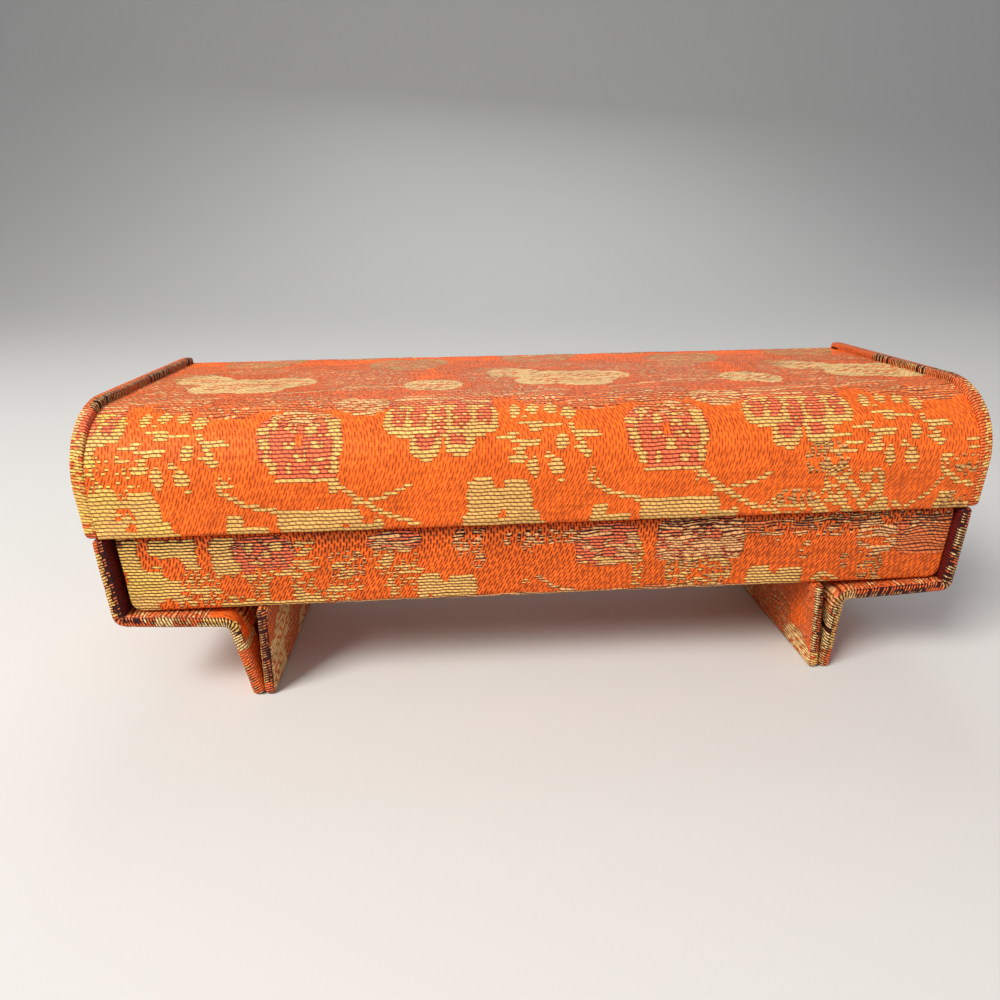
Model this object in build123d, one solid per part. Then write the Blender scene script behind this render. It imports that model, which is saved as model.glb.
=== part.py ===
from build123d import *
import os

os.makedirs("parts", exist_ok=True)

# A cloth covered card box on two runner legs, with a lid that folds up on its back cloth.
# X runs along the box, Y from its front to its back, Z up from the table.

# The whole box, from the table up: legs and returns, tray, lid
length = 180.0
depth = 61.0
underside = 18.6
tray_height = 19.6
lid_height = 25.3

# Coverings
cloth = 0.5
satin = 0.4
padding = 0.8

# Cards
lid_card = 1.6
lid_end_card = 1.4
lid_back_card = 1.6
shell_card = 1.5
panel_card = 1.6
leg_inner_card = 1.1
bottom_card = 2.0
wall_card = 1.2

# Lid
rim_height = 1.5
rim_nose_radius = 15.9
lid_nose_radius = 15.1
rim_front_radius = 1.6
rim_back_radius = 0.9

# Clearances between the lid and the tray
lid_gap = 0.3
lip_height = 6.5
lip_clearance = 0.8
lip_back_clearance = 0.6
lip_side_clearance = 0.4

# Side shells, each one board that is bent into a wall, a bottom return and a leg
return_droop = 1.2
shell_corner_radius = 2.2
shell_inner_radius = 1.6
leg_bend_radius = 1.1
leg_bend_outer_radius = 3.0
leg_tip_radius = 0.9
leg_setback = {"left": 22.7, "right": 23.7}
leg_lean = {"left": 2.7, "right": 0.5}
leg_gap = {"left": 3.8, "right": 2.7}
leg_foot = {"left": 4.3, "right": 4.4}
leg_core_lift = 5.0

# Front panel of the tray
panel_gap = {"left": 1.2, "right": 0.2}
panel_lift = 0.2
panel_corner_radius = 1.8

# Lining and pad inside the tray
lining_turnover = 8.0
pad_thickness = 3.0
pad_gap = 0.4
pad_corner_radius = 3.0
pad_crown_radius = 1.6

# One overrun for every cut
overrun = 5.0

sides = ("left", "right")

# Sizes that follow from the ones above
lid_line = underside + tray_height
height = lid_line + lid_height
half_length = length / 2
front = -depth / 2
back = depth / 2
lid_bottom = lid_line + lid_gap / 2
base_top = lid_line - lid_gap / 2
lid_top = height - rim_height
lid_end = lid_end_card + 2 * cloth
lid_side = half_length - lid_end
lid_wall = cloth + padding + lid_card
back_face = back - cloth
lid_back_inner = back_face - lid_back_card

shell = shell_card + 2 * cloth
tray_side = lid_side - satin - lip_side_clearance
shell_side = tray_side + shell
return_top = underside + shell
bottom_under = return_top + cloth
tray_floor = bottom_under + bottom_card

panel = panel_card + 2 * cloth
tray_front = front + lid_wall + satin + lip_clearance
tray_back = lid_back_inner - satin - lip_back_clearance
panel_front = tray_front - panel
leg_inner = leg_inner_card + 2 * cloth
leg_root = {side: shell_side - leg_setback[side] for side in sides}
leg_tip = {side: leg_root[side] - leg_lean[side] for side in sides}
leg_inner_top = {side: leg_root[side] - shell - leg_gap[side] - leg_inner for side in sides}
leg_inner_foot = {side: leg_tip[side] - leg_foot[side] for side in sides}

lip_top = lid_line + lip_height
wall_top = lip_top - satin
wall_side = tray_side - satin
wall_front = tray_front + satin
wall_back = tray_back - satin
well_side = wall_side - wall_card
well_front = wall_front + wall_card
well_back = wall_back - wall_card


def block(low, high):
    """A straight block between its lowest and its highest corner."""
    size = [b - a for a, b in zip(low, high)]
    return Pos(*low) * Box(*size, align=(Align.MIN, Align.MIN, Align.MIN))


def round_corner(face, corner, radius):
    """The face with the outline corner nearest to a point rounded."""
    vertex = face.vertices().sort_by_distance(Vector(*corner))[0]
    return fillet(vertex, radius)


def along_y(face, start, end):
    """An outline drawn as (x, z), made solid from y = start to y = end."""
    return extrude(Plane.XZ.offset(-end) * face, amount=end - start)


def along_x(face, start, end):
    """An outline drawn as (y, z), made solid from x = start to x = end."""
    return extrude(Plane.YZ.offset(start) * face, amount=end - start)


def mirror_to(side, solid):
    """A solid modelled on the right, or its mirror image on the left."""
    return solid if side == "right" else mirror(solid, about=Plane.YZ)


def parallel(points, distance):
    """The bent line through points, moved to its left by a distance, with mitred corners."""
    shifted = []
    for a, b in zip(points, points[1:]):
        run = (Vector(*b) - Vector(*a)).normalized()
        step = Vector(-run.Y, run.X) * distance
        shifted.append((Vector(*a) + step, Vector(*b) + step))
    line = [shifted[0][0]]
    for (a, b), (c, d) in zip(shifted, shifted[1:]):
        u, v = b - a, d - c
        share = ((c - a).X * v.Y - (c - a).Y * v.X) / (u.X * v.Y - u.Y * v.X)
        line.append(a + u * share)
    line.append(shifted[-1][1])
    return line


def slide_to_level(point, neighbour, level):
    """The point where the line from neighbour through point meets a height."""
    run = Vector(*point) - Vector(*neighbour)
    return Vector(*point) + run * ((level - Vector(*point).Y) / run.Y)


# The bent side shells

def shell_line(side):
    """The shell's outer face as seen from the front: wall, bottom return and leg."""
    return [
        (shell_side, base_top),
        (shell_side, underside),
        (leg_root[side], underside - return_droop),
        (leg_tip[side], 0),
    ]


def shell_section(side, inset, top, foot):
    """The bent board, inset alike from both of its faces, cut level at its top and foot."""
    faces = []
    for distance in (inset, shell - inset):
        line = parallel(shell_line(side), -distance)
        line[0] = slide_to_level(line[0], line[1], top)
        line[-1] = slide_to_level(line[-1], line[-2], foot)
        faces.append(line)
    outer, inner = faces
    section = make_face(Polyline(*outer, *reversed(inner), close=True))
    section = round_corner(section, outer[1], shell_corner_radius - inset)
    section = round_corner(section, inner[1], shell_inner_radius + inset)
    section = round_corner(section, outer[2], leg_bend_radius + inset)
    section = round_corner(section, inner[2], leg_bend_outer_radius)
    return section if inset else round_corner(section, outer[-1], leg_tip_radius)


def shell_board(side):
    """The card inside one side shell."""
    section = shell_section(side, cloth, base_top - cloth, cloth)
    return mirror_to(side, along_y(section, front + cloth, back - cloth))


def covered_shell(side):
    """The side shell with its cloth, as one solid."""
    return mirror_to(side, along_y(shell_section(side, 0, base_top, 0), front, back))


def shell_cloth(side):
    """The cloth glued round the card, over its edges too."""
    return covered_shell(side) - shell_board(side)


def leg_inner_section(side, inset, foot):
    """The inner board of a leg, from the underside down to the leg's tip."""
    line = [(leg_inner_top[side], return_top), (leg_inner_foot[side], 0)]
    faces = []
    for distance in (inset, leg_inner - inset):
        shifted = parallel(line, distance)
        shifted[0] = slide_to_level(shifted[0], shifted[1], return_top - inset)
        shifted[1] = slide_to_level(shifted[1], shifted[0], foot)
        faces.append(shifted)
    return make_face(Polyline(*faces[0], *reversed(faces[1]), close=True))


def leg_inner_board(side):
    """The card inside the inner board of a leg."""
    section = leg_inner_section(side, cloth, leg_core_lift)
    return mirror_to(side, along_y(section, front + cloth, back - cloth))


def leg_inner_cloth(side):
    """The cloth round that card. Its foot is pressed against the outer board of the leg."""
    section = leg_inner_section(side, 0, 0) - shell_section(side, 0, base_top, 0)
    return mirror_to(side, along_y(section, front, back)) - leg_inner_board(side)


# The tray

def panel_section(inset):
    """The front panel's outline, with its two lower corners rounded."""
    left = -tray_side + panel_gap["left"] + inset
    right = tray_side - panel_gap["right"] - inset
    low, high = return_top + panel_lift + inset, base_top - inset
    section = make_face(Polyline((left, low), (right, low), (right, high), (left, high), close=True))
    for corner in ((left, low), (right, low)):
        section = round_corner(section, corner, panel_corner_radius - inset)
    return section


def tray_front_board():
    return along_y(panel_section(cloth), panel_front + cloth, tray_front - cloth)


def tray_front_cloth():
    return along_y(panel_section(0), panel_front, tray_front) - tray_front_board()


def between_shells(near, rear, low, high):
    """A board that fills the tray's width, with its ends shaped to the shells' rounded corners."""
    board = block((-tray_side, near, low), (tray_side, rear, high))
    for side in sides:
        board -= covered_shell(side)
    return board


def tray_back_board():
    return between_shells(tray_back, back_face, return_top, base_top)


def back_cloth_tray():
    return between_shells(back_face, back, return_top, base_top)


def tray_bottom_board():
    return between_shells(tray_front, tray_back, bottom_under, tray_floor)


def underside_cloth():
    return between_shells(tray_front, tray_back, return_top, bottom_under)


def inner_walls():
    """The four card walls that stand inside the tray and rise into the lid as a lip."""
    across = {"front": (wall_front, well_front), "back": (well_back, wall_back)}
    walls = {
        name: block((-wall_side, start, tray_floor), (wall_side, end, wall_top))
        for name, (start, end) in across.items()
    }
    side_wall = block((well_side, well_front, tray_floor), (wall_side, well_back, wall_top))
    for side in sides:
        walls[side] = mirror_to(side, side_wall)
    return walls


def tray_lining():
    """Satin in the well, over the top of the lip and down its outside."""
    turnover = block(
        (-tray_side, tray_front, lid_line - lining_turnover), (tray_side, tray_back, lip_top)
    )
    bag = block((-well_side, well_front, tray_floor), (well_side, well_back, lip_top))
    hollow = block(
        (-well_side + satin, well_front + satin, tray_floor + satin),
        (well_side - satin, well_back - satin, lip_top + overrun),
    )
    return turnover + bag - hollow - list(inner_walls().values())


def tray_pad():
    """A thin pad on the floor of the well, with rounded corners and a soft top edge."""
    inset = satin + pad_gap
    wide, deep = 2 * (well_side - inset), well_back - well_front - 2 * inset
    outline = RectangleRounded(wide, deep, pad_corner_radius)
    middle = (well_front + well_back) / 2
    pad = Pos(0, middle, tray_floor + satin) * extrude(outline, amount=pad_thickness)
    return fillet(pad.faces().sort_by(Axis.Z)[-1].edges(), pad_crown_radius)


# The lid

def lid_section(inset, bottom, rear):
    """All that lies under the lid's front and top when their outer face is moved in."""
    low, high, near = bottom, lid_top - inset, front + inset
    section = make_face(Polyline((near, low), (rear, low), (rear, high), (near, high), close=True))
    return round_corner(section, (near, high), lid_nose_radius - inset)


def lid_layer(outer, inner, bottom):
    """One layer of the lid's front, nose and top, between two depths below the outer face."""
    section = lid_section(outer, bottom, back_face)
    section -= lid_section(inner, bottom - overrun, back + overrun)
    return along_x(section, -lid_side, lid_side)


def lid_wrap_board():
    return lid_layer(cloth + padding, lid_wall, lid_bottom + cloth)


def lid_padding():
    return lid_layer(cloth, cloth + padding, lid_bottom + cloth)


def lid_cloth():
    """The brocade over the lid, folded in under its front edge."""
    section = lid_section(0, lid_bottom, back_face)
    section -= lid_section(cloth, lid_bottom + cloth, back + overrun)
    section -= lid_section(lid_wall, lid_bottom - overrun, back + overrun)
    return along_x(section, -lid_side, lid_side)


def lid_back_board():
    return block((-lid_side, lid_back_inner, lid_bottom), (lid_side, back_face, lid_top - lid_wall))


def back_cloth_lid():
    return block((-lid_side, back_face, lid_bottom), (lid_side, back, lid_top))


def lid_end_section(inset):
    """The end board's outline, which follows the lid and stands above its top."""
    near, rear = front + inset, back - inset
    low, high = lid_bottom + inset, height - inset
    section = make_face(Polyline((near, low), (rear, low), (rear, high), (near, high), close=True))
    section = round_corner(section, (near, high), rim_nose_radius - inset)
    section = round_corner(section, (near, low), rim_front_radius - inset)
    return round_corner(section, (rear, high), rim_back_radius - inset)


def lid_end_board(side):
    board = along_x(lid_end_section(cloth), lid_side + cloth, half_length - cloth)
    return mirror_to(side, board)


def lid_end_cloth(side):
    body = along_x(lid_end_section(0), lid_side, half_length)
    return mirror_to(side, body) - lid_end_board(side)


def lid_lining():
    """Satin on the inside of the lid: front, top, back and both ends."""
    low = lid_bottom + cloth
    outer = along_x(lid_section(lid_wall, low, lid_back_inner), -lid_side, lid_side)
    inner = lid_section(lid_wall + satin, low - overrun, lid_back_inner - satin)
    return outer - along_x(inner, -lid_side + satin, lid_side - satin)


def all_parts():
    """Every piece by its name."""
    parts = {
        "tray_front_board": tray_front_board(),
        "tray_front_cloth": tray_front_cloth(),
        "tray_back_board": tray_back_board(),
        "back_cloth_tray": back_cloth_tray(),
        "tray_bottom_board": tray_bottom_board(),
        "underside_cloth": underside_cloth(),
        "tray_lining": tray_lining(),
        "tray_pad": tray_pad(),
        "lid_wrap_board": lid_wrap_board(),
        "lid_padding": lid_padding(),
        "lid_cloth": lid_cloth(),
        "lid_back_board": lid_back_board(),
        "back_cloth_lid": back_cloth_lid(),
        "lid_lining": lid_lining(),
    }
    for name, wall in inner_walls().items():
        parts[f"inner_wall_{name}"] = wall
    for side in sides:
        parts[f"shell_board_{side}"] = shell_board(side)
        parts[f"shell_cloth_{side}"] = shell_cloth(side)
        parts[f"leg_inner_board_{side}"] = leg_inner_board(side)
        parts[f"leg_inner_cloth_{side}"] = leg_inner_cloth(side)
        parts[f"lid_end_board_{side}"] = lid_end_board(side)
        parts[f"lid_end_cloth_{side}"] = lid_end_cloth(side)
    return parts


for name, solid in all_parts().items():
    export_step(solid, f"parts/{name}.step")
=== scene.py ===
"""An orange brocade keepsake box on two runner legs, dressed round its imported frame.

Every cloth is laid thread by thread. A flat grid, whose faces are the crossings of the cloth's
warps and wefts, is woven first, which gives each crossing its yarn, and is then laid on the form
of the card that it covers. Lengths are millimetres until a mesh is finished.
"""

import logging
import math
from dataclasses import dataclass, field, replace
from enum import Enum, IntEnum
from typing import Callable, Iterable, Sequence

import bmesh
import bpy
import numpy as np
from mathutils import Matrix, Vector


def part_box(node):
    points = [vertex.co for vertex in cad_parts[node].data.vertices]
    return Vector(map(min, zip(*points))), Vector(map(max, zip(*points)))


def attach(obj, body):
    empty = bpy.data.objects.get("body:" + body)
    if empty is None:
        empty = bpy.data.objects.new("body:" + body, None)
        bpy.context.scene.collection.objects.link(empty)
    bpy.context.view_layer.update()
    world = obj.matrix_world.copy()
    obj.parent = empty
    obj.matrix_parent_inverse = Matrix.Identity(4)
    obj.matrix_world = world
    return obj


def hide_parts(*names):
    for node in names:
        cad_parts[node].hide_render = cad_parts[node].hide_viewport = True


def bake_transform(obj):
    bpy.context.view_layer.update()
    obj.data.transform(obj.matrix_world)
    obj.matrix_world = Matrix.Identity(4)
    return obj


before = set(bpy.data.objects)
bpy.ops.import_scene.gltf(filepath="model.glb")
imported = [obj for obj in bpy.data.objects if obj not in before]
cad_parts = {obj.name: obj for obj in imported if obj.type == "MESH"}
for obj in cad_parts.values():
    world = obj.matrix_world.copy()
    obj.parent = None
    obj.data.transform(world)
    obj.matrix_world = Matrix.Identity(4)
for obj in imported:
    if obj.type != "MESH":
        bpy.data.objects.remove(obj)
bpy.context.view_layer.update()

log = logging.getLogger("brocade_box")

MM = 0.001

# The cloth: the pitches of its threads, and of the threads that cross a trimmed edge.
WARP_PITCH = 0.65
WEFT_PITCH = 0.8
PICK = WARP_PITCH / 2
TRIM_PITCH = 0.62

# Half the width of a cut that runs along the box.
HALF_CUT = 87.6

Array = np.ndarray
Colour = tuple[float, float, float, float]


class Yarn(IntEnum):
    """What lies on top at one crossing of the cloth."""

    NONE = -1
    GROUND = 0
    GOLD = 1
    CORAL = 2
    CREAM = 3
    TAN = 4
    SALMON = 5
    PALE = 6
    ORANGE = 7
    # Painted shade: a dark crimson for inner faces that lie in shade.
    CRIMSON = 8
    # The duller ground of the top: partly the cloth's own, partly painted sheen.
    DUSK = 9


class Side(Enum):
    """The two ends of the box."""

    LEFT = -1
    RIGHT = 1

    @property
    def word(self) -> str:
        """The side's word in the names of pieces."""
        return self.name.lower()


def scatter(a: Array | float, b: Array | float = 0.0, seed: float = 0.0) -> Array:
    """Even random numbers from 0 to 1 that are the same each time for the same places.

    Args:
        a: First place, such as the column of a crossing.
        b: Second place, such as its row.
        seed: Sets one use of the numbers apart from another.

    Returns:
        One number for each place.
    """
    return np.modf(np.abs(np.sin(a * 12.9898 + b * 78.233 + seed * 37.719) * 43758.5453))[0]


def ripple(a: Array, b: Array, length: float, seed: float = 0.0) -> Array:
    """A gentle unevenness between about -1 and 1.

    Args:
        a: Places along the cloth.
        b: Places across it.
        length: How far apart its swells lie.
        seed: Sets one cloth apart from another.

    Returns:
        The height of the swell at each place.
    """
    total = np.zeros_like(a, dtype=float)
    for wave in range(5):
        turn = 2.4 * wave + seed
        k = 2 * math.pi / (length * (0.62 + 0.27 * wave))
        total += np.sin(k * (a * math.cos(turn) + b * math.sin(turn)) + 1.7 * wave * seed + wave)
    return total / 3.2


def ease(value: Array, reach: float) -> Array:
    """A share that grows from 0 to 1 over a reach, and stays there."""
    return np.clip(value / reach, 0, 1)


def srgb(red: int, green: int, blue: int) -> Colour:
    """A colour as a dyer would match it on a screen, made linear.

    Args:
        red: From 0 to 255.
        green: From 0 to 255.
        blue: From 0 to 255.

    Returns:
        The colour for a shader's socket.
    """
    shares = [channel / 255 for channel in (red, green, blue)]
    return (*(s / 12.92 if s <= 0.04045 else ((s + 0.055) / 1.055) ** 2.4 for s in shares), 1.0)


# Finishes


def sign(operation: str) -> Callable[["Signal", "Number"], "Signal"]:
    """What a sign between two signals stands for: one operation of the shader."""
    return lambda first, second: first.bench.math(operation, first, second)


class Signal:
    """A number that a material works out at each point, used like a plain number."""

    def __init__(self, bench: "Bench", socket: bpy.types.NodeSocket) -> None:
        """Takes the socket that the number comes out of."""
        self.bench, self.socket = bench, socket

    __add__, __sub__, __mul__ = sign("ADD"), sign("SUBTRACT"), sign("MULTIPLY")
    __truediv__, __gt__, __lt__ = sign("DIVIDE"), sign("GREATER_THAN"), sign("LESS_THAN")

    def __rsub__(self, other: float) -> "Signal":
        """A plain number less this one."""
        return self.bench.math("SUBTRACT", other, self)

    def fit(self, factor: float, start: "Number") -> "Signal":
        """This number times a factor, added to a start."""
        return self.bench.math("MULTIPLY_ADD", self, factor, start)

    def clamp(self) -> "Signal":
        """The same number, which the sum that made it now keeps between 0 and 1."""
        self.socket.node.use_clamp = True
        return self

    def floor(self) -> "Signal":
        """The whole number below this one."""
        return self.bench.math("FLOOR", self)

    def fract(self) -> "Signal":
        """What is left of this number above the whole one."""
        return self.bench.math("FRACT", self)

    def hump(self, sharp: float = 2.0) -> "Signal":
        """A rounded profile across each thread of a count of threads.

        Args:
            sharp: How flat it is on top and how steep at its sides.

        Returns:
            1 on the middle of a thread and 0 at both of its sides.
        """
        off = self.bench.math("ABSOLUTE", self.fract().fit(2.0, -1.0))
        return 1.0 - self.bench.math("POWER", off, sharp)


Number = Signal | float
Paint = bpy.types.NodeSocket | Colour


class Bench:
    """The node tree of one material, with short calls for its nodes."""

    def __init__(self, name: str, **surface: float | Colour) -> None:
        """Starts a material.

        Args:
            name: The material's name.
            surface: Values for the shader's own sockets, their names with _ for each space.
        """
        self.material = bpy.data.materials.new(name)
        self.material.use_nodes = True
        self.tree = self.material.node_tree
        self.shader = self.tree.nodes["Principled BSDF"]
        for socket, value in surface.items():
            self.shader.inputs[socket.replace("_", " ")].default_value = value

    def feed(self, socket: bpy.types.NodeSocket, value: object) -> None:
        """Links a socket to another, or sets its value.

        Args:
            socket: The socket that is fed.
            value: A signal, a socket, or a plain value.
        """
        source = value.socket if isinstance(value, Signal) else value
        if isinstance(source, bpy.types.NodeSocket):
            self.tree.links.new(source, socket)
        else:
            socket.default_value = source

    def node(
        self, kind: str, feeds: dict[int | str, object] | None = None, **settings: object
    ) -> bpy.types.Node:
        """Adds a node.

        Args:
            kind: Its type.
            feeds: What its sockets get, by their numbers or names.
            settings: Its own settings.

        Returns:
            The node.
        """
        made = self.tree.nodes.new(kind)
        for name, value in settings.items():
            setattr(made, name, value)
        for socket, value in (feeds or {}).items():
            self.feed(made.inputs[socket], value)
        return made

    def math(self, operation: str, *values: Number) -> Signal:
        """One sum.

        Args:
            operation: The name of the sum.
            values: What it is worked out from.

        Returns:
            The result.
        """
        made = self.node("ShaderNodeMath", dict(enumerate(values)), operation=operation)
        return Signal(self, made.outputs[0])

    def mix(self, share: Number, first: Paint, second: Paint) -> bpy.types.NodeSocket:
        """Two colours mixed, the second one by the share."""
        feeds = {0: share, 6: first, 7: second}
        return self.node("ShaderNodeMix", feeds, data_type="RGBA").outputs[2]

    def between(self, share: Number, first: Number, second: Number) -> Signal:
        """Two numbers mixed, the second one by the share."""
        feeds = {0: share, 2: first, 3: second}
        return Signal(self, self.node("ShaderNodeMix", feeds, data_type="FLOAT").outputs[0])

    def attribute(self, name: str) -> Signal:
        """The number that each crossing of the cloth carries under a name."""
        made = self.node("ShaderNodeAttribute", attribute_name=name)
        return Signal(self, made.outputs["Fac"])

    def bright(self, colour: Paint, value: Number) -> bpy.types.NodeSocket:
        """A colour made brighter or darker by a factor."""
        return self.node("ShaderNodeHueSaturation", {"Color": colour, "Value": value}).outputs[0]

    def split(self, vector: bpy.types.NodeSocket) -> list[Signal]:
        """The three numbers of a vector."""
        made = self.node("ShaderNodeSeparateXYZ", {0: vector})
        return [Signal(self, part) for part in made.outputs]

    def place(self) -> bpy.types.NodeSocket:
        """Where a point lies on the object, in metres."""
        return self.node("ShaderNodeTexCoord").outputs["Object"]

    def chance(self, first: Number, second: Number) -> Signal:
        """Draws a number for each pair of whole numbers.

        Args:
            first: One of the two.
            second: The other one.

        Returns:
            A random number from 0 to 1.
        """
        pair = self.node("ShaderNodeCombineXYZ", {0: first, 1: second}).outputs[0]
        made = self.node("ShaderNodeTexWhiteNoise", noise_dimensions="2D")
        self.feed(made.inputs["Vector"], pair)
        return Signal(self, made.outputs["Value"])

    def noise(self, scale: float, detail: float, stretch: Sequence[float] = (1, 1, 1)) -> Signal:
        """Cloudy noise on the object's own coordinates.

        Args:
            scale: Swells to the metre.
            detail: How many finer layers it has.
            stretch: Scale along each axis.

        Returns:
            The noise.
        """
        mapping = self.node("ShaderNodeMapping", {"Vector": self.place(), "Scale": stretch})
        feeds = {"Vector": mapping.outputs[0], "Scale": scale, "Detail": detail}
        return Signal(self, self.node("ShaderNodeTexNoise", feeds).outputs["Fac"])

    def finish(
        self, colour: Paint, roughness: Number, height: Number = 0.0, depth: float = 0.0
    ) -> bpy.types.Material:
        """Gives the surface its colour, its gloss and its relief.

        Args:
            colour: The colour.
            roughness: The roughness.
            height: How high the surface stands, from 0 to 1.
            depth: What a height of 1 stands for, in millimetres, or 0 for no relief.

        Returns:
            The finished material.
        """
        self.feed(self.shader.inputs["Base Color"], colour)
        self.feed(self.shader.inputs["Roughness"], roughness)
        if depth:
            bump = self.node("ShaderNodeBump", {"Distance": depth * MM, "Height": height})
            self.feed(self.shader.inputs["Normal"], bump.outputs[0])
        return self.material


@dataclass(frozen=True)
class BrocadeFinish:
    """Orange satin ground with yarns floated over it, coloured by each crossing's yarn.

    The yarns' colours stand in the order of their numbers, each with that of the gap beside it.
    """

    name: str = "orange_brocade"
    sheen_tint: Colour = srgb(255, 176, 120)
    ground: Colour = srgb(255, 112, 34)
    ground_gap: Colour = srgb(140, 30, 6)
    # The duller ground of the top: partly the cloth's own colour, partly painted sheen of the top
    # seen at a grazing angle.
    dusk: Colour = srgb(230, 108, 50)
    dusk_gap: Colour = srgb(150, 44, 16)
    yarns: tuple[tuple[Colour, Colour], ...] = (
        (srgb(255, 112, 34), srgb(150, 32, 8)),
        (srgb(255, 198, 112), srgb(142, 66, 22)),
        (srgb(252, 122, 78), srgb(150, 42, 24)),
        (srgb(255, 214, 144), srgb(178, 106, 54)),
        (srgb(224, 166, 98), srgb(126, 66, 28)),
        (srgb(238, 128, 70), srgb(146, 48, 20)),
        (srgb(252, 186, 120), srgb(140, 58, 28)),
        (srgb(250, 116, 52), srgb(120, 26, 10)),
        # Painted shade: the dark crimson of the inner faces of shells and legs.
        (srgb(112, 18, 16), srgb(40, 4, 6)),
        # The duller ground of the top, partly painted sheen.
        (srgb(230, 108, 50), srgb(150, 44, 16)),
    )
    # Painted light: the gold turns this yellow towards the left end, where the key lamp falls
    # brightest.
    yellow: Colour = srgb(255, 214, 92)
    # The dark of wide gaps: partly the weave's dark gaps and backing threads, partly painted shade.
    maroon: Colour = srgb(56, 12, 12)
    relief_depth: float = 0.2

    # The ground's short floats: rows to each, columns to a warp, and how unevenly they start.
    stroke_rows: float = 2.8
    finer: float = 1.07
    uneven: float = 0.34

    # How far the ground leans, in warps, and over how many rows the lean comes back.
    lean: float = 5.4
    lean_rows: float = 58.0
    lean_start: float = 8.0

    # The dark tick beside each: its half width, how much a wide gap adds, and how far it strays.
    tick: float = 0.32
    tick_widens: float = 0.8
    tick_strays: float = 0.3

    # The floated yarns: where one is tied down, and how far that darkens it.
    tie_lean: float = 0.3
    tie_sharp: float = 3.4
    tie_depth: float = 0.62
    twist_depth: float = 0.2

    def ramp(self, bench: Bench, yarn: Signal, which: int) -> bpy.types.NodeSocket:
        """The colour of each yarn.

        Args:
            bench: The material.
            yarn: The yarn's number.
            which: 0 for the thread itself and 1 for the gap beside it.

        Returns:
            The socket with the colour.
        """
        count = len(self.yarns)
        made = bench.node("ShaderNodeValToRGB", {0: (yarn + 0.5) / count})
        made.color_ramp.interpolation = "CONSTANT"
        elements = made.color_ramp.elements
        while len(elements) < count:
            elements.new(1.0)
        for number, colours in enumerate(self.yarns):
            elements[number].position = number / count
            elements[number].color = colours[which]
        return made.outputs[0]

    def strokes(
        self, bench: Bench, warp: Signal, weft: Signal, dusk: Signal
    ) -> tuple[bpy.types.NodeSocket, Signal]:
        """The ground's short warp floats, which lean as the cloth was pulled.

        Args:
            bench: The material.
            warp: The place across the warps.
            weft: The place across the wefts.
            dusk: 1 where the ground is the dull one.

        Returns:
            The colour and the height of the ground.
        """
        turn = (weft + self.lean_start) * (2 * math.pi / self.lean_rows)
        leaning = bench.math("COSINE", turn).fit(self.lean, warp) * self.finer
        column = leaning.floor()
        start = bench.chance(column, 3.0).fit(self.uneven, (column * 0.5).fract())
        along = weft.fit(1 / self.stroke_rows, start)
        number = along.floor()
        wide = bench.attribute("gap")
        aside = bench.chance(number, column).fit(2 * self.tick_strays, -self.tick_strays)
        off = (leaning.fract().fit(2.0, -1.0) + aside) / wide.fit(self.tick_widens, self.tick)
        tick = (1.0 - off * off).clamp() * along.hump().fit(2.0, -0.6).clamp()
        face = bench.mix(dusk, self.ground, self.dusk)
        gap = bench.mix(dusk, self.ground_gap, self.dusk_gap)
        gap = bench.mix(bench.noise(70.0, 2.0) * 0.4, gap, face)
        # Wide gaps turn maroon, deepen the dark ticks and darken the whole ground: painted shade
        # where a cut's gaps are widened for shade, partly dark backing threads on trims.
        gap = bench.mix(wide.fit(2.0, -0.55).clamp(), gap, self.maroon)
        dark = (tick * wide.fit(1.5, 0.32)).clamp()
        colour = bench.bright(bench.mix(dark, face, gap), wide.fit(-0.3, 0.99))
        spread = bench.chance((leaning + 0.5).floor(), number)
        return bench.bright(colour, spread.fit(0.3, 0.84)), 1.0 - tick

    def floats(
        self, bench: Bench, warp: Signal, weft: Signal, yarn: Signal
    ) -> tuple[bpy.types.NodeSocket, Signal]:
        """The yarns that lie over the ground, tied down here and there, with a gap beside each.

        Args:
            bench: The material.
            warp: The place across the warps.
            weft: The place across the wefts.
            yarn: The yarn's number.

        Returns:
            The colour and the height of the floats.
        """
        tip, gap, row = bench.attribute("tip"), bench.attribute("gap"), weft.floor()
        rounded = (weft.hump(2.2) - tip * 0.25 - gap) / (1.0 - gap)
        bead = warp.fit(0.5, weft.fract().fit(self.tie_lean, row * 0.5)).hump(self.tie_sharp)
        tied = bead.fit(self.tie_depth, 1 - self.tie_depth)
        ply = weft.fit(0.9, warp.fit(1.6, bench.chance(row, 5.0)))
        twist = ply.hump().fit(self.twist_depth, 1 - self.twist_depth)
        lit = ((rounded * 1.75).clamp() * (tied * twist) * 1.1).clamp()
        thread, between = self.ramp(bench, yarn, 0), self.ramp(bench, yarn, 1)
        # Painted light: towards the left end the gold yarn turns yellower in cloudy patches, where
        # the key lamp falls brightest.
        near_end = bench.split(bench.place())[0].fit(-30.0, -1.5).clamp()
        is_gold = bench.math("COMPARE", yarn, float(Yarn.GOLD), 0.1)
        painted_highlight = bench.noise(110.0, 2.0).fit(2.4, -0.95).clamp() * near_end * is_gold
        thread = bench.mix(painted_highlight, thread, self.yellow)
        # Where gaps are wide, whole rows and the gaps beside them turn maroon: painted shade, and
        # on trims partly dark backing threads.
        dark_and_shaded_rows = bench.chance(row, 7.0) < gap.fit(1.2, -0.62)
        thread = bench.mix(dark_and_shaded_rows, thread, self.maroon)
        between = bench.mix(gap.fit(2.4, -0.36).clamp(), between, self.maroon)
        return bench.mix(lit, between, thread), lit

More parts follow.
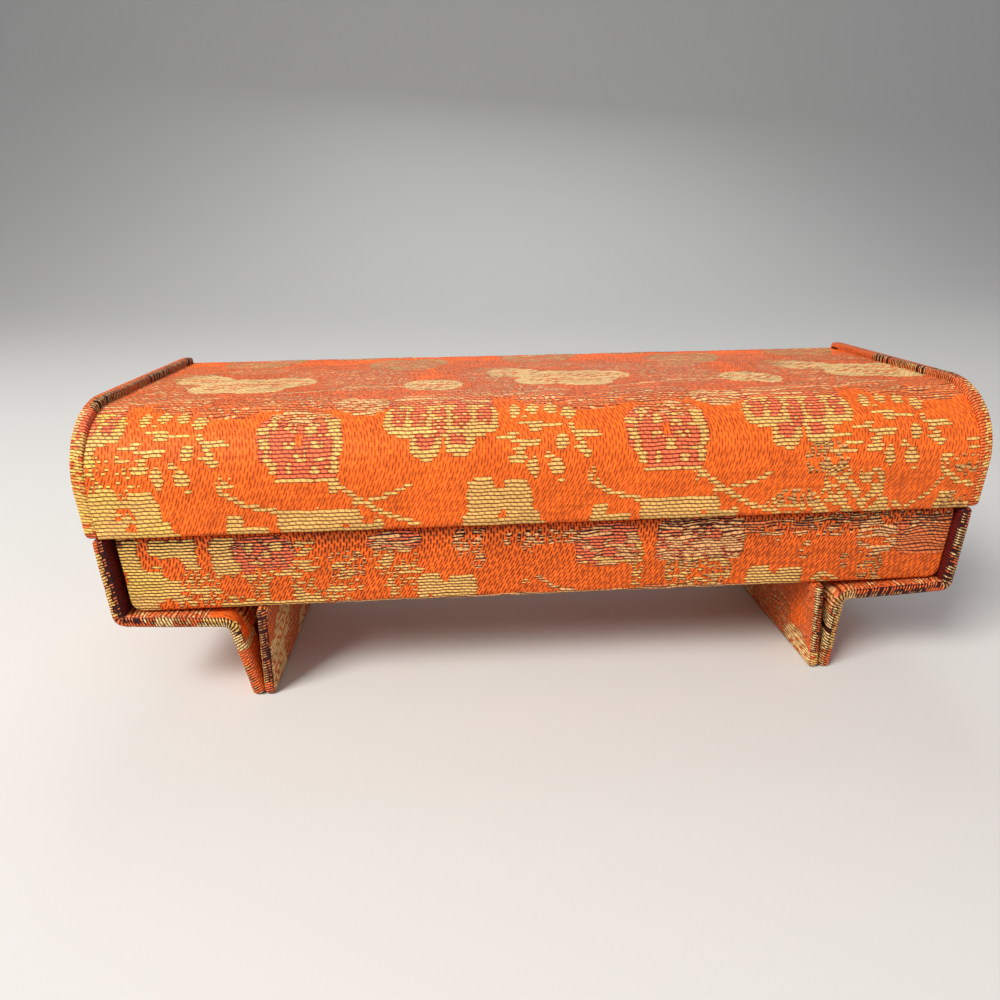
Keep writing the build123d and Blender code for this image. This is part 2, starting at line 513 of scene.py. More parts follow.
    def build(self) -> bpy.types.Material:
        """Mixes the material, which reads the thread map and what each crossing carries.

        Returns:
            The material.
        """
        bench = Bench(
            self.name, Sheen_Weight=0.035, Sheen_Roughness=0.4, Sheen_Tint=self.sheen_tint,
            Specular_IOR_Level=0.17,
        )
        threads = bench.node("ShaderNodeUVMap", uv_map="threads").outputs[0]
        warp, weft, _ = bench.split(threads)
        yarn = bench.attribute("yarn")
        # The duller ground, partly painted sheen of the top seen at a grazing angle.
        dusk = yarn > Yarn.DUSK - 0.5
        cover = (yarn > Yarn.GROUND + 0.5) - dusk
        ground, lens = self.strokes(bench, warp, weft, dusk)
        floats, lit = self.floats(bench, warp, weft, yarn)
        cloud = bench.noise(60.0, 3.0).fit(0.24, 0.88)
        fibre = bench.noise(4200.0, 2.0).fit(0.7, 0.65)
        colour = bench.bright(bench.mix(cover, ground, floats), cloud * fibre)
        colour = bench.bright(colour, bench.attribute("shade").fit(0.3, 1.0))
        height = bench.between(cover, lens * 0.6, lit + 0.2)
        return bench.finish(colour, bench.between(cover, 0.58, 0.48), height, self.relief_depth)


@dataclass(frozen=True)
class SatinFinish:
    """Plain lining satin, with fine threads along the box and a soft gloss."""

    name: str = "lining_satin"
    face: Colour = srgb(226, 162, 74)
    shade: Colour = srgb(196, 124, 44)
    threads_per_metre: float = 4200.0
    relief_depth: float = 0.04

    def build(self) -> bpy.types.Material:
        """Mixes the material, which reads the object's coordinates.

        Returns:
            The material.
        """
        bench = Bench(
            self.name, Sheen_Weight=0.2, Sheen_Roughness=0.3, Anisotropic=0.6,
            Specular_IOR_Level=0.6,
        )
        threads = bench.noise(self.threads_per_metre, 2.0, (0.06, 1.0, 1.0))
        slub = bench.noise(500.0, 2.0, (0.1, 1.0, 1.0))
        colour = bench.mix(threads.fit(0.7, bench.noise(45.0, 3.0) * 0.3), self.shade, self.face)
        return bench.finish(colour, slub.fit(0.16, 0.28), slub.fit(0.5, threads), self.relief_depth)


@dataclass(frozen=True)
class CardFinish:
    """Grey board, with pressed fibres and a few dark specks."""

    name: str = "grey_board"
    face: Colour = srgb(176, 164, 146)
    speck: Colour = srgb(96, 84, 70)
    relief_depth: float = 0.06

    def build(self) -> bpy.types.Material:
        """Mixes the material, which reads the object's coordinates.

        Returns:
            The material.
        """
        bench = Bench(self.name)
        fibres = bench.noise(900.0, 5.0, (0.3, 1.0, 1.0))
        specks = bench.noise(1900.0, 1.0) > 0.68
        colour = bench.bright(bench.mix(specks * 0.6, self.face, self.speck), fibres.fit(0.4, 0.8))
        return bench.finish(colour, fibres.fit(0.2, 0.75), fibres, self.relief_depth)


@dataclass(frozen=True)
class WaddingFinish:
    """White cotton wadding, painted darker in the hollows between its tufts as painted shade."""

    name: str = "cotton_wadding"
    face: Colour = srgb(236, 230, 218)
    hollow: Colour = srgb(190, 182, 168)
    roughness: float = 0.9
    relief_depth: float = 0.4

    def build(self) -> bpy.types.Material:
        """Mixes the material, which reads the object's coordinates.

        Returns:
            The material.
        """
        bench = Bench(self.name, Sheen_Weight=0.6)
        tufts = bench.noise(420.0, 6.0)
        # Painted shade: the hollows between the tufts are darker.
        colour = bench.mix(tufts, self.hollow, self.face)
        return bench.finish(colour, self.roughness, tufts, self.relief_depth)


@dataclass(frozen=True)
class FloorFinish:
    """A plain pale floor."""

    name: str = "pale_floor"
    face: Colour = srgb(208, 208, 206)
    roughness: float = 0.7

    def build(self) -> bpy.types.Material:
        """Mixes the material, with a faint unevenness.

        Returns:
            The material.
        """
        bench = Bench(self.name, Specular_IOR_Level=0.2)
        colour = bench.bright(self.face, bench.noise(3.0, 2.0).fit(0.04, 0.98))
        return bench.finish(colour, self.roughness)


# The woven pattern


class Fill(Enum):
    """How the floats of a shape are picked."""

    SOLID = "every crossing"
    DASHES = "short bars in every row"
    LINES = "long thin lines in every second row"
    STIPPLE = "bars of two crossings, here and there"
    CURLS = "small curls"
    DUST = "single ticks"
    SLANTS = "short slanting streaks"

    def picks(self, column: Array, row: Array) -> Array:
        """Which crossings of a shape carry its yarn.

        Args:
            column: The half warp of each crossing.
            row: The weft of each crossing.

        Returns:
            True where the yarn floats.
        """
        if self is Fill.SOLID:
            return np.ones(column.shape, bool)
        if self is Fill.DASHES:
            return scatter(np.floor((column + 5 * np.mod(row, 7)) / 7), row, 1.0) < 0.58
        if self is Fill.LINES:
            bars = scatter(np.floor((column + 9 * row) / 23), row, 2.0) < 0.8
            return (np.mod(row, 2) == 0) & bars
        if self is Fill.STIPPLE:
            return scatter(np.floor((column + row) / 2), row, 3.0) < 0.56
        if self is Fill.CURLS:
            x, y = column * PICK, row * WEFT_PITCH
            swirl_x = np.sin(1.5 * x + 2.4 * np.sin(1.1 * y))
            swirl_y = np.sin(1.3 * y + 2.2 * np.sin(1.2 * x))
            return swirl_x + swirl_y > 0.1
        if self is Fill.SLANTS:
            rise = 0.5 * row - 0.075 * column + 0.3 * np.sin(0.21 * column + row)
            kept = scatter(np.floor(column / 9), np.floor(rise), 6.0) < 0.75
            return (np.mod(rise, 1) < 0.34) & kept
        return scatter(np.floor(column / 2), row, 4.0) < 0.24


@dataclass(frozen=True)
class Layer:
    """Ovals or bars of one yarn, each given by its middle and its two half sizes."""

    yarn: Yarn
    shapes: tuple[tuple[float, float, float, float], ...]
    power: float = 2.0
    fill: Fill = Fill.SOLID

    def covers(self, x: Array, y: Array, column: Array, row: Array) -> Array:
        """Finds the layer's yarn.

        Args:
            x: Places along the cloth, from the figure's middle.
            y: Places up the cloth.
            column: The half warp of each.
            row: The weft of each.

        Returns:
            True where the yarn lies.
        """
        inside = np.zeros(x.shape, bool)
        for middle_x, middle_y, half_x, half_y in self.shapes:
            off_x, off_y = np.abs((x - middle_x) / half_x), np.abs((y - middle_y) / half_y)
            inside |= off_x**self.power + off_y**self.power < 1
        return inside & self.fill.picks(column, row)

    def scaled(self, half_u: float, half_v: float) -> "Layer":
        """Stretches the layer's places and sizes.

        Args:
            half_u: By how much along the cloth.
            half_v: By how much up the cloth.

        Returns:
            The stretched layer.
        """
        scale = (half_u, half_v, half_u, half_v)
        shapes = (tuple(a * b for a, b in zip(shape, scale)) for shape in self.shapes)
        return replace(self, shapes=tuple(shapes))


@dataclass(frozen=True)
class Motif:
    """A figure of several layers, the later ones on top, placed on the flat cloth."""

    u: float
    v: float
    layers: tuple[Layer, ...]
    repeats: bool = True
    reach: tuple[float, float] = (30.0, 16.0)

    def draw(self, u: Array, v: Array, column: Array, row: Array) -> Array:
        """Draws the figure.

        Args:
            u: Places along the cloth, from the figure's middle.
            v: Places up the cloth.
            column: The half warp of each.
            row: The weft of each.

        Returns:
            The figure's yarns.
        """
        drawn = np.full(u.shape, Yarn.NONE, int)
        near = (np.abs(u) < self.reach[0]) & (np.abs(v) < self.reach[1])
        for layer in self.layers:
            found = np.zeros(u.shape, bool)
            found[near] = layer.covers(u[near], v[near], column[near], row[near])
            drawn[found] = layer.yarn
        return drawn


@dataclass(frozen=True)
class Branch:
    """A thin branch through a few points of the flat cloth."""

    points: tuple[tuple[float, float], ...]
    width: float = 1.1
    repeats: bool = True
    yarn: Yarn = Yarn.GOLD

    @property
    def u(self) -> float:
        """Where it starts along the cloth."""
        return self.points[0][0]

    @property
    def v(self) -> float:
        """Where it starts up the cloth."""
        return self.points[0][1]

    def draw(self, u: Array, v: Array, column: Array, row: Array) -> Array:
        """Draws the branch.

        Args:
            u: Places along the cloth, from the branch's start.
            v: Places up the cloth.
            column: The half warp of each, which a branch has no use for.
            row: The weft of each, likewise.

        Returns:
            The branch's yarns.
        """
        nearest = np.full(u.shape, np.inf)
        line = [(a - self.u, b - self.v) for a, b in self.points]
        for (a, b), (c, d) in zip(line, line[1:]):
            run = np.array([c - a, d - b])
            share = np.clip(((u - a) * run[0] + (v - b) * run[1]) / (run @ run), 0, 1)
            nearest = np.minimum(nearest, np.hypot(u - a - share * run[0], v - b - share * run[1]))
        return np.where(nearest < self.width / 2, self.yarn, Yarn.NONE)


@dataclass(frozen=True)
class Brocade:
    """The pattern on one cut of the cloth, which repeats along it and up it."""

    motifs: tuple[Motif | Branch, ...]
    repeat_u: float = 71.6
    repeat_v: float = 82.0
    slide_u: float = 0.0
    slide_v: float = 0.0
    weft: float = WEFT_PITCH
    gap: float = 0.27
    # The gaps widen to this from a height up the cut, painted shadow, as on the panel's top rows
    # under the lid.
    upper_gap: float = 0.27
    upper_from: float = 0.0
    shaded_run: int = 17

    def gaps(self, v: Array) -> Array:
        """How wide the gaps beside the threads are, as a share of their pitch, widened up the cut
        where a pattern asks for it as painted shadow under the lid.
        """
        return self.gap + (self.upper_gap - self.gap) * ease(v - self.upper_from, 4)

    def weave(self, column: Array, row: Array) -> tuple[Array, Array]:
        """Gives each crossing its yarn and how bright it is.

        Args:
            column: The half warp of each crossing, counted along the cloth.
            row: The weft of each crossing, counted up the cloth.

        Returns:
            The yarns and the shades, from -1 to 1.
        """
        u = (column + 0.5) * PICK + self.slide_u + (scatter(row, 14.0) - 0.5) * 0.5
        v = (row + 0.5) * self.weft + self.slide_v
        yarn = np.zeros(u.shape, int)
        for motif in self.motifs:
            from_u, from_v = u - motif.u, v - motif.v
            if motif.repeats:
                from_u = np.mod(from_u + self.repeat_u / 2, self.repeat_u) - self.repeat_u / 2
                from_v = np.mod(from_v + self.repeat_v / 2, self.repeat_v) - self.repeat_v / 2
            drawn = motif.draw(from_u, from_v, column, row)
            yarn = np.where(drawn == Yarn.NONE, yarn, drawn)
        return yarn, self.shade(column, row)

    def shade(self, column: Array, row: Array) -> Array:
        """Works out how bright each crossing is, the floats of one row unlike those of the next.

        Args:
            column: The half warp of each crossing.
            row: The weft of each crossing.

        Returns:
            The shades, from -1 to 1.
        """
        start = np.floor(scatter(row, 17.0) * self.shaded_run)
        floats = scatter(np.floor((column + start) / self.shaded_run), row, 15.0) - 0.5
        return 0.8 * floats + 0.5 * (scatter(np.floor(column / 2), row, 16.0) - 0.5)


def once(u: float, v: float, *layers: Layer) -> Motif:
    """A figure that doesn't repeat with the pattern."""
    return Motif(u, v, layers, repeats=False)


# The figures, and the patterns that they make. The yarns and the fills go by their own names here.

GROUND, GOLD, CORAL, CREAM, TAN, SALMON, PALE, ORANGE, _, DUSK = list(Yarn)[1:]
DASHES, LINES, STIPPLE, CURLS, DUST, SLANTS = list(Fill)[1:]

FLOWER = (
    Layer(CORAL, ((0, 1.4, 8.1, 6.2), (0.8, -2.4, 6.6, 4.6)), 3.2),
    Layer(SALMON, ((0, 6.2, 6.4, 2),), 2),
    Layer(PALE, ((0, 6.2, 6.4, 2),), 2, DASHES),
    Layer(GOLD, ((0, 1, 7.6, 6.2),), 3, DUST),
    Layer(GOLD, (
        (-7.1, 3.4, 1.2, 1), (-6.8, 0.5, 1, 1.5), (-6.1, -2.2, 0.8, 1.3), (-5.3, -4.4, 0.8, 1.4),
        (-5, 4.6, 0.5, 1.7), (6.4, 4.4, 1.3, 1.7), (5.5, 2.4, 2.1, 0.5), (7.1, 0.2, 0.9, 2.6),
        (4.9, -2.6, 2.2, 0.5), (6.4, -4.2, 0.9, 1.4), (-1.6, -6.4, 3.8, 0.6), (4.4, -6.4, 1.9, 0.5),
    ), 4),
    Layer(GOLD, (
        (-1.9, 3.7, 1.1, 1.4), (1.8, 3.3, 1.3, 1.4), (-2.1, 0.1, 1.2, 0.9), (2.7, 0.1, 1.6, 0.9),
        (0.3, -1.9, 1.1, 1.2), (-2.3, -4.3, 0.6, 1.1), (2.8, -4.6, 1, 1),
    ), 3),
    Layer(CORAL, ((0, 0.4, 6, 5.6),), 2.6, DUST),
    Layer(GROUND, ((-0.3, 1.3, 0.8, 1.3),)),
    Layer(GOLD, ((5.9, -7.8, 1.2, 1.5),), 2, STIPPLE),
)
FAN = (
    Layer(CORAL, ((0, 6.6, 10.4, 4.4),), 2.6),
    Layer(SALMON, ((0, 7.8, 10, 3.4),), 2.6),
    Layer(PALE, ((0, 7.4, 10, 3.8),), 2.6, LINES),
    Layer(CORAL, ((-4, 6.2, 2.4, 1.4), (2.6, 6.6, 2.6, 1.4)), 2, DASHES),
    Layer(GOLD, ((0, 1.9, 11.2, 4),), 4),
    Layer(GOLD, ((-3.2, -3.2, 3.1, 3.5), (3.4, -3, 3, 3.1))),
    Layer(CORAL, (
        (-8.3, 2.9, 1.4, 2.5), (-4.6, 2.9, 1.7, 2.9), (-0.5, 1.5, 1.5, 3.8), (4, 2.7, 2, 3),
        (8.4, 2.8, 1.4, 2.6), (-3.3, -2.6, 1.8, 1.6), (3.1, -2.6, 1.5, 1.4),
    ), 2.5),
    Layer(GOLD, ((6, 4.2, 0.8, 0.5), (-6.4, 4.6, 0.6, 0.5), (1.6, 4.8, 0.6, 0.5)), 3),
    Layer(GOLD, ((0, 2, 10.6, 4),), 3, DUST),
)
SPRIG = (
    Layer(GOLD, (
        (-7.1, 6.3, 1.1, 1.9), (-3.6, 6.8, 1.3, 1.3), (0, 6.6, 1.3, 1.5), (3.5, 5.3, 1.5, 1.5),
        (1.8, -1.2, 1.2, 1.9), (-4, -6, 1.1, 2.1), (-1, -3.9, 0.9, 0.8), (0.5, -6.2, 1.5, 1.7),
        (-4.8, -1, 2.6, 0.9), (-6.4, -2.5, 1.2, 0.9), (-7.1, -4.2, 1.9, 1), (1.7, -8.6, 0.7, 0.6),
    )),
    Layer(GOLD, (
        (2.9, 3.6, 1.6, 0.4), (-4.2, 3.2, 2.4, 0.4), (-1.2, 2.5, 3.3, 0.4), (-3.3, 1.8, 1.2, 0.6),
        (3.8, 2, 0.6, 0.5), (6.5, 1, 2.6, 0.5), (7, 0.2, 2.6, 0.4), (5.2, -0.6, 0.8, 0.4),
        (6, -1.4, 0.8, 0.4), (5.6, -2.4, 1.4, 0.4), (6.5, -3.1, 1.4, 0.4), (6.5, -3.9, 0.7, 0.4),
        (-7.6, 1.1, 1.1, 0.4), (-9.4, 0.1, 1.9, 0.4), (-7.6, -0.6, 0.6, 0.4), (-5, 4.7, 0.5, 0.5),
    ), 4),
)
BLOSSOM = (
    Layer(GOLD, ((-3.6, 3.4, 2.7, 2.1), (3.1, 3.3, 2.5, 2)), 3),
    Layer(GOLD, ((-0.2, 0.4, 6.5, 3.2), (0.2, -3.2, 7.7, 1.6), (0.5, -4.6, 8.4, 1.2)), 6),
    Layer(GROUND, ((0, 4.4, 1, 1.2), (0.3, -2.6, 0.9, 0.9))),
)
BAND = (
    Layer(GOLD, ((-0.1, 0.2, 8, 2.6),), 8),
    Layer(GOLD, ((6.4, -1, 6, 1.7),), 3),
    Layer(GROUND, ((9.6, 0, 1.3, 0.9), (5, -0.9, 0.9, 0.4))),
)
MOUND = (Layer(GOLD, ((0, 0, 1.6, 1.8),), 3), Layer(GOLD, ((2.2, -1.7, 4.2, 0.9),), 4))
CLOUD = (
    Layer(CREAM, (
        (-8, -1.5, 5.6, 5), (-2, 1, 6.6, 7.4), (4.6, 2.2, 6.4, 6.6), (8.6, 3.2, 4.6, 4.6),
        (-4.6, 5, 4.2, 3.8), (2, -4.4, 6, 3.6),
    )),
    Layer(TAN, ((-1, 0.6, 9, 5.6),), 2, SLANTS),
    Layer(DUSK, ((-4, 0, 6.6, 4.2), (4.2, 1.8, 7.8, 4.4)), 2, SLANTS),
)
SMALL_CLOUD = (
    Layer(CREAM, ((-2.6, 0.4, 3.8, 5), (2.4, -0.8, 4.4, 5.2), (0, 2.2, 3.6, 3.6))),
    Layer(TAN, ((0, 0.4, 6.6, 5),), 2, SLANTS),
    Layer(DUSK, ((0.4, -0.2, 4.6, 3.2),), 2, SLANTS),
)
PALE_LEAF = (
    Layer(PALE, ((-2.2, 0.3, 3.4, 2.6), (2.4, 0.2, 3.2, 2.4), (0.2, -0.8, 4.2, 2.4))),
    Layer(SALMON, ((0.2, 0, 5, 2.4),), 2, SLANTS),
)
DRIFT = (
    Layer(SALMON, ((0, 0, 1, 1),), 2.4, DASHES),
    Layer(SALMON, ((0, 0, 1.2, 1.2),), 2.4, STIPPLE),
    Layer(PALE, ((0, 0, 1, 1),), 2.4, DUST),
)
DULL_LEAF = (
    Layer(TAN, ((0, 0, 1, 1), (0.4, 0.3, 0.8, 0.7)), 2.4),
    Layer(SALMON, ((0, 0, 1, 1),), 2, DASHES),
    Layer(PALE, ((0.2, 0, 0.7, 0.6),), 2, SLANTS),
)
# The duller ground over most of the lid's top: partly the cloth's own colour, partly painted sheen
# of the top seen at a grazing angle.
DULL_AND_SHEEN_GROUND = (
    Layer(DUSK, ((0, 0, 1, 0.86), (-0.5, -0.1, 0.45, 1), (0.55, 0.1, 0.42, 1)), 2.3),
    Layer(DUSK, ((0, 0, 1, 1),), 3, LINES),
    Layer(SALMON, ((0, 0, 0.9, 0.9),), 2.6, DUST),
)


def sized(recipe: tuple[Layer, ...], half_u: float, half_v: float) -> tuple[Layer, ...]:
    """A recipe for a figure of half sizes 1, drawn at other half sizes."""
    return tuple(layer.scaled(half_u, half_v) for layer in recipe)


TILE = (
    Motif(-50, 36.5, sized(DULL_AND_SHEEN_GROUND, 28, 11.5)),
    Motif(-52, 58, sized(DULL_AND_SHEEN_GROUND, 28, 12)),
    Motif(-12, 40, sized(DULL_AND_SHEEN_GROUND, 15, 11)),
    Motif(-10, 61, sized(DULL_AND_SHEEN_GROUND, 13, 11)),
    Motif(-50, 29.5, sized(DRIFT, 9.4, 3.6)),
    Motif(-37.6, 46, sized(DRIFT, 9.4, 9)),
    Motif(-72, 31.5, sized(DRIFT, 5, 5)),
    Motif(-79, 36, sized(DRIFT, 5, 6)),
    Motif(-40, 57, sized(DRIFT, 10, 5)),
    Motif(-55.2, 28.3, sized(DRIFT, 4, 1.8)),
    Motif(-62, 26.6, sized(DRIFT, 5, 2.4)),
    Motif(-53.3, 57.5, sized(DRIFT, 4.6, 5.5)),
    Motif(-66, 62, sized(DRIFT, 8, 3.2)),
    Motif(-8, 50, sized(DRIFT, 8, 8)),
    Motif(-10, 33, sized(DRIFT, 9, 3)),
    Motif(-68, 73.5, sized(DULL_LEAF, 9.2, 7.2)),
    Motif(-30.5, 67, sized(DULL_LEAF, 9, 7.6)),
    Motif(-43, 78.5, sized(DULL_LEAF, 5.8, 4)),
    Motif(-8.5, 57, sized(DULL_LEAF, 4.4, 3.8)),
    Motif(-62.3, 44.5, CLOUD),
    Motif(-75.6, 52.5, SMALL_CLOUD),
    Motif(-22.8, 41.5, SMALL_CLOUD),
    Motif(-36, 27.2, PALE_LEAF),
    Branch(((-44.4, 37.9), (-41.6, 40), (-29.1, 40.2)), 0.9, yarn=PALE),
    Branch(((-56.2, 35), (-49.3, 36.7), (-44, 38.2)), 0.9, yarn=PALE),
    Branch(((-86, 31), (-80, 30.2), (-74, 32.4), (-66, 33.4)), 0.8, yarn=PALE),
    Motif(-70.5, 18, SPRIG),
    Motif(-62.3, 10.6, (Layer(GOLD, ((0, 0, 1.7, 1.7),), 2, STIPPLE),)),
    Motif(-47.6, 17.4, FLOWER),
    Motif(-20.5, 20.5, FAN),
    Branch(((-63, 8.9), (-59, 6.2), (-56.4, 5.5), (-53, 4.6))),
    Branch((
        (-41.7, 10), (-40, 9.2), (-37.7, 7.3), (-35.3, 5.4), (-32.5, 3.7), (-29.3, 2.2),
        (-25.9, 1.2),
    )),
    Branch(((-38, 5.6), (-33.4, 6.7), (-30, 7.8), (-27, 9.3)), 0.9),
    Motif(-9.4, 4.7, BLOSSOM),
    Motif(-44.9, 2.4, BAND),
    Motif(-61.2, 2.6, MOUND),
)

LID_PATTERN = Brocade(
    motifs=(
        once(
            58.5, 3.2,
            Layer(GOLD, ((-7, -1.2, 7, 2), (9, -2.2, 7, 1.2)), 4, STIPPLE),
            Layer(TAN, ((-8, 0.6, 4, 1.6),), 4, STIPPLE),
        ),
        *TILE,
        once(
            64, 5,
            Layer(GROUND, ((-2.5, 0, 6, 5),), 3, CURLS),
            Layer(TAN, ((-8, 6.8, 4.6, 3.2),), 3, STIPPLE),
            Layer(GOLD, ((-5, 10, 4.6, 2),), 3, LINES),
        ),
        once(
            -86, 5,
            Layer(GOLD, ((-3, -1, 6, 5.2),), 4),
            Layer(GOLD, ((-0.8, 6.2, 1.7, 4),), 3, STIPPLE),
            Layer(GOLD, ((3.6, 7.6, 5, 5),), 2, DUST),
            Layer(GROUND, ((4.6, 0, 2.6, 1.2),), 2, STIPPLE),
            Layer(GOLD, ((-1.6, 10.2, 2.6, 0.5),), 4),
        ),
        once(
            85.3, 6,
            Layer(TAN, ((0, 3.9, 2.8, 2.4), (-1.3, -4.2, 2.8, 2)), 2, STIPPLE),
            Layer(GOLD, ((0.9, 8.3, 1.3, 1.6),), 3, LINES),
        ),
        Branch(((74, 1), (78, 3.6), (81, 7.4)), 0.7, repeats=False),
    ),
)

# The panel's wide gaps darken it. From 11 mm up they widen further, as painted shadow under the
# lid's overhang.
PANEL_PATTERN = Brocade(
    weft=0.7,
    gap=0.42,
    upper_gap=0.6,
    upper_from=11,
    motifs=(
        once(-66, 8, Layer(GOLD, ((0, 0, 15, 7),), 5, STIPPLE)),
        once(
            -80, 8.2,
            Layer(GOLD, ((-1, -2.6, 5.9, 6.3), (-3.6, 5.9, 2.5, 2.4), (5.1, 4.9, 4.8, 3.2)), 8),
            Layer(GROUND, (
                (-0.7, 4.8, 1, 3), (4.4, 1.4, 2.3, 2.5), (-5.7, -0.5, 0.8, 1.6),
                (2.2, -7.1, 2, 1.4),
            ), 2.4),
            Layer(GROUND, ((0.6, 2.6, 2.6, 1.6),), 2.4, DASHES),
            Layer(CORAL, ((0, 7.4, 8, 1),), 3, DUST),
        ),
        once(
            -65.1, 11.3,
            Layer(GOLD, ((0.4, 0.6, 3, 4),), 6),
            Layer(GROUND, ((-4, 0.6, 1.4, 3.4),)),
        ),
        once(
            -57.2, 12.2,
            Layer(CORAL, (
                (0, 0.5, 6.2, 3.3), (-3.8, -2.9, 1.5, 1.3), (0.4, -2.9, 1.5, 1.2),
                (3.4, -2.6, 1.1, 1.5),
            ), 2.8),
            Layer(PALE, ((0, 0.4, 6, 3.3),), 2.8, DUST),
            Layer(GOLD, (
                (-2.6, 1.5, 1, 0.9), (2.6, 1.5, 1.4, 1), (0.4, -0.3, 0.9, 0.9),
                (-2, -1.9, 1.6, 0.5),
            ), 3),
            Layer(GOLD, ((8.3, -0.8, 2.4, 3.8), (1, -4.4, 6.4, 0.8)), 4, DASHES),
        ),
        once(
            -58, 4,
            Layer(GROUND, ((-5.9, 0.9, 3.1, 2.4), (3, -0.1, 2.4, 3)), 2.2),
            Layer(GOLD, ((-11.7, 0, 2.5, 1),), 2, DASHES),
            Layer(GOLD, ((7.9, 0, 2.6, 3.6),), 3, STIPPLE),
        ),
        once(
            -41, 6.5,
            Layer(GOLD, (
                (1.5, 4.4, 1.7, 1.3), (-0.9, 2.1, 2.4, 1.1), (0.1, -0.1, 2.1, 1.3),
                (-0.6, -2.7, 3.7, 1.3), (-4, -4.8, 4.3, 1.7),
            ), 2.4, STIPPLE),
            Layer(PALE, ((0, 2, 4, 4),), 2.4, DUST),
        ),
        once(
            -31, 9,
            Layer(CORAL, ((0, 5, 5.6, 2),), 3),
            Layer(PALE, ((0, 5, 5.6, 2.2),), 3, DASHES),
            Layer(GOLD, (
                (-2.8, 1.1, 2.4, 2.4), (1.5, -1.6, 4.3, 1.1), (-0.5, -5.7, 1, 3.7),
            ), 2.4, STIPPLE),
            Layer(GOLD, ((1, -2.4, 4.8, 5.4),), 2.4, DUST),
        ),
        once(
            -20.8, 2.8,
            Layer(GOLD, ((-2.8, 1.2, 3.3, 2.1), (3, 0.9, 3.1, 2.1), (0, -1.4, 6.3, 2.4)), 4),
            Layer(GROUND, ((-0.2, 3, 1, 1.4), (-3.6, -2.2, 0.8, 0.5))),
        ),
        once(
            -12, 12,
            Layer(PALE, (
                (-5.8, 0.3, 1.7, 3.2), (-2.2, -1, 1.3, 4.2), (-3.8, 3.2, 3.4, 0.8),
                (3.9, 1.4, 1, 1.6), (7.9, 0.2, 1, 2.6),
            ), 3, STIPPLE),
            Layer(GOLD, ((7.2, -9.1, 1.2, 1.6),), 2, STIPPLE),
        ),
        once(0.3, 13.6, Layer(PALE, ((0, 0, 6.2, 2),), 3, STIPPLE)),
        Branch(((-2, 4.7), (1.3, 2.1), (4.4, 0.8), (11, 0.2)), 0.8, repeats=False, yarn=PALE),
        once(
            12.6, 11.2,
            Layer(CORAL, ((0, 0, 6.8, 4.6),), 3.6),
            Layer(PALE, ((0, -0.6, 6.8, 4.6),), 3.6, DASHES),
            Layer(CORAL, (
                (-2.4, 1, 1.6, 1.2), (2.6, 1.6, 1.6, 1.4), (0.2, -1.8, 1.6, 1),
            ), 2.4, DASHES),
            Layer(GOLD, ((0, -3.8, 5.6, 0.7),), 3, DASHES),
            Layer(GOLD, ((6.8, -5, 1.1, 6),), 4, STIPPLE),
        ),
        once(
            32, 8.4,
            Layer(PALE, ((0.4, 3.2, 9.4, 5),), 6),
            Layer(CORAL, ((0.4, 3.2, 9.4, 5),), 6, DUST),
            Layer(CORAL, ((3, 4.1, 1.8, 1.6), (-5.8, 5, 2.4, 1)), 2, DASHES),
            Layer(TAN, ((0.4, -4.7, 7.2, 3.9),), 4, STIPPLE),
            Layer(GOLD, ((0.4, -4.7, 7.2, 3.9),), 4, DASHES),
            Layer(GROUND, ((-0.4, -4.4, 6, 3),), 3, DUST),
            Layer(SALMON, ((-8.4, -7.8, 3, 0.9),), 4),
        ),
        once(
            56, 14,
            Layer(SALMON, ((0, 0, 16, 1.6),), 4, DASHES),
            Layer(PALE, (
                (-8.1, -2.2, 1.9, 1.2), (5.5, -1.6, 1.7, 1.1), (-0.7, -5.6, 1.1, 2),
            ), 3, DASHES),
            Layer(PALE, ((0, -0.6, 16, 2),), 3, DUST),
        ),
        once(
            49.4, 2.1,
            Layer(GOLD, ((-3.4, 0.6, 2.9, 2.1), (3, 0.4, 3.2, 2), (0, -1.2, 6.2, 1.7)), 4),
            Layer(GROUND, ((-0.2, 2.2, 1, 1.4),)),
        ),
        once(
            62, 3.4,
            Layer(TAN, ((2.4, 1.8, 1, 1.9),), 2, STIPPLE),
            Layer(GOLD, ((-1.3, -1.9, 3.2, 1.2),), 3, DASHES),
        ),
        once(
            77, 8.2,
            Layer(PALE, ((-6.3, 2.6, 4.6, 4.2),), 3, DASHES),
            Layer(SALMON, ((4.2, 2.6, 6.2, 4.4),), 5),
            Layer(PALE, ((4.2, 4.6, 6.2, 2.6),), 5, DUST),
            Layer(CORAL, ((-1, 4.4, 1.4, 1.2),), 2, DASHES),
            Layer(TAN, ((-6.5, -4.9, 2.8, 3.2),), 3, STIPPLE),
            Layer(GOLD, ((-5.4, -7.4, 2.8, 0.8),), 3, DASHES),
        ),
        once(70, 15.6, Layer(TAN, ((0, 0, 17, 0.9),), 4, STIPPLE)),
        Branch(((-67, 0.8), (-56, 0.6), (-47, 0.9)), 1.6, repeats=False),
        Branch(((-44, 0.3), (46, 0.3)), 0.5, repeats=False, yarn=PALE),
    ),
)


# Forms


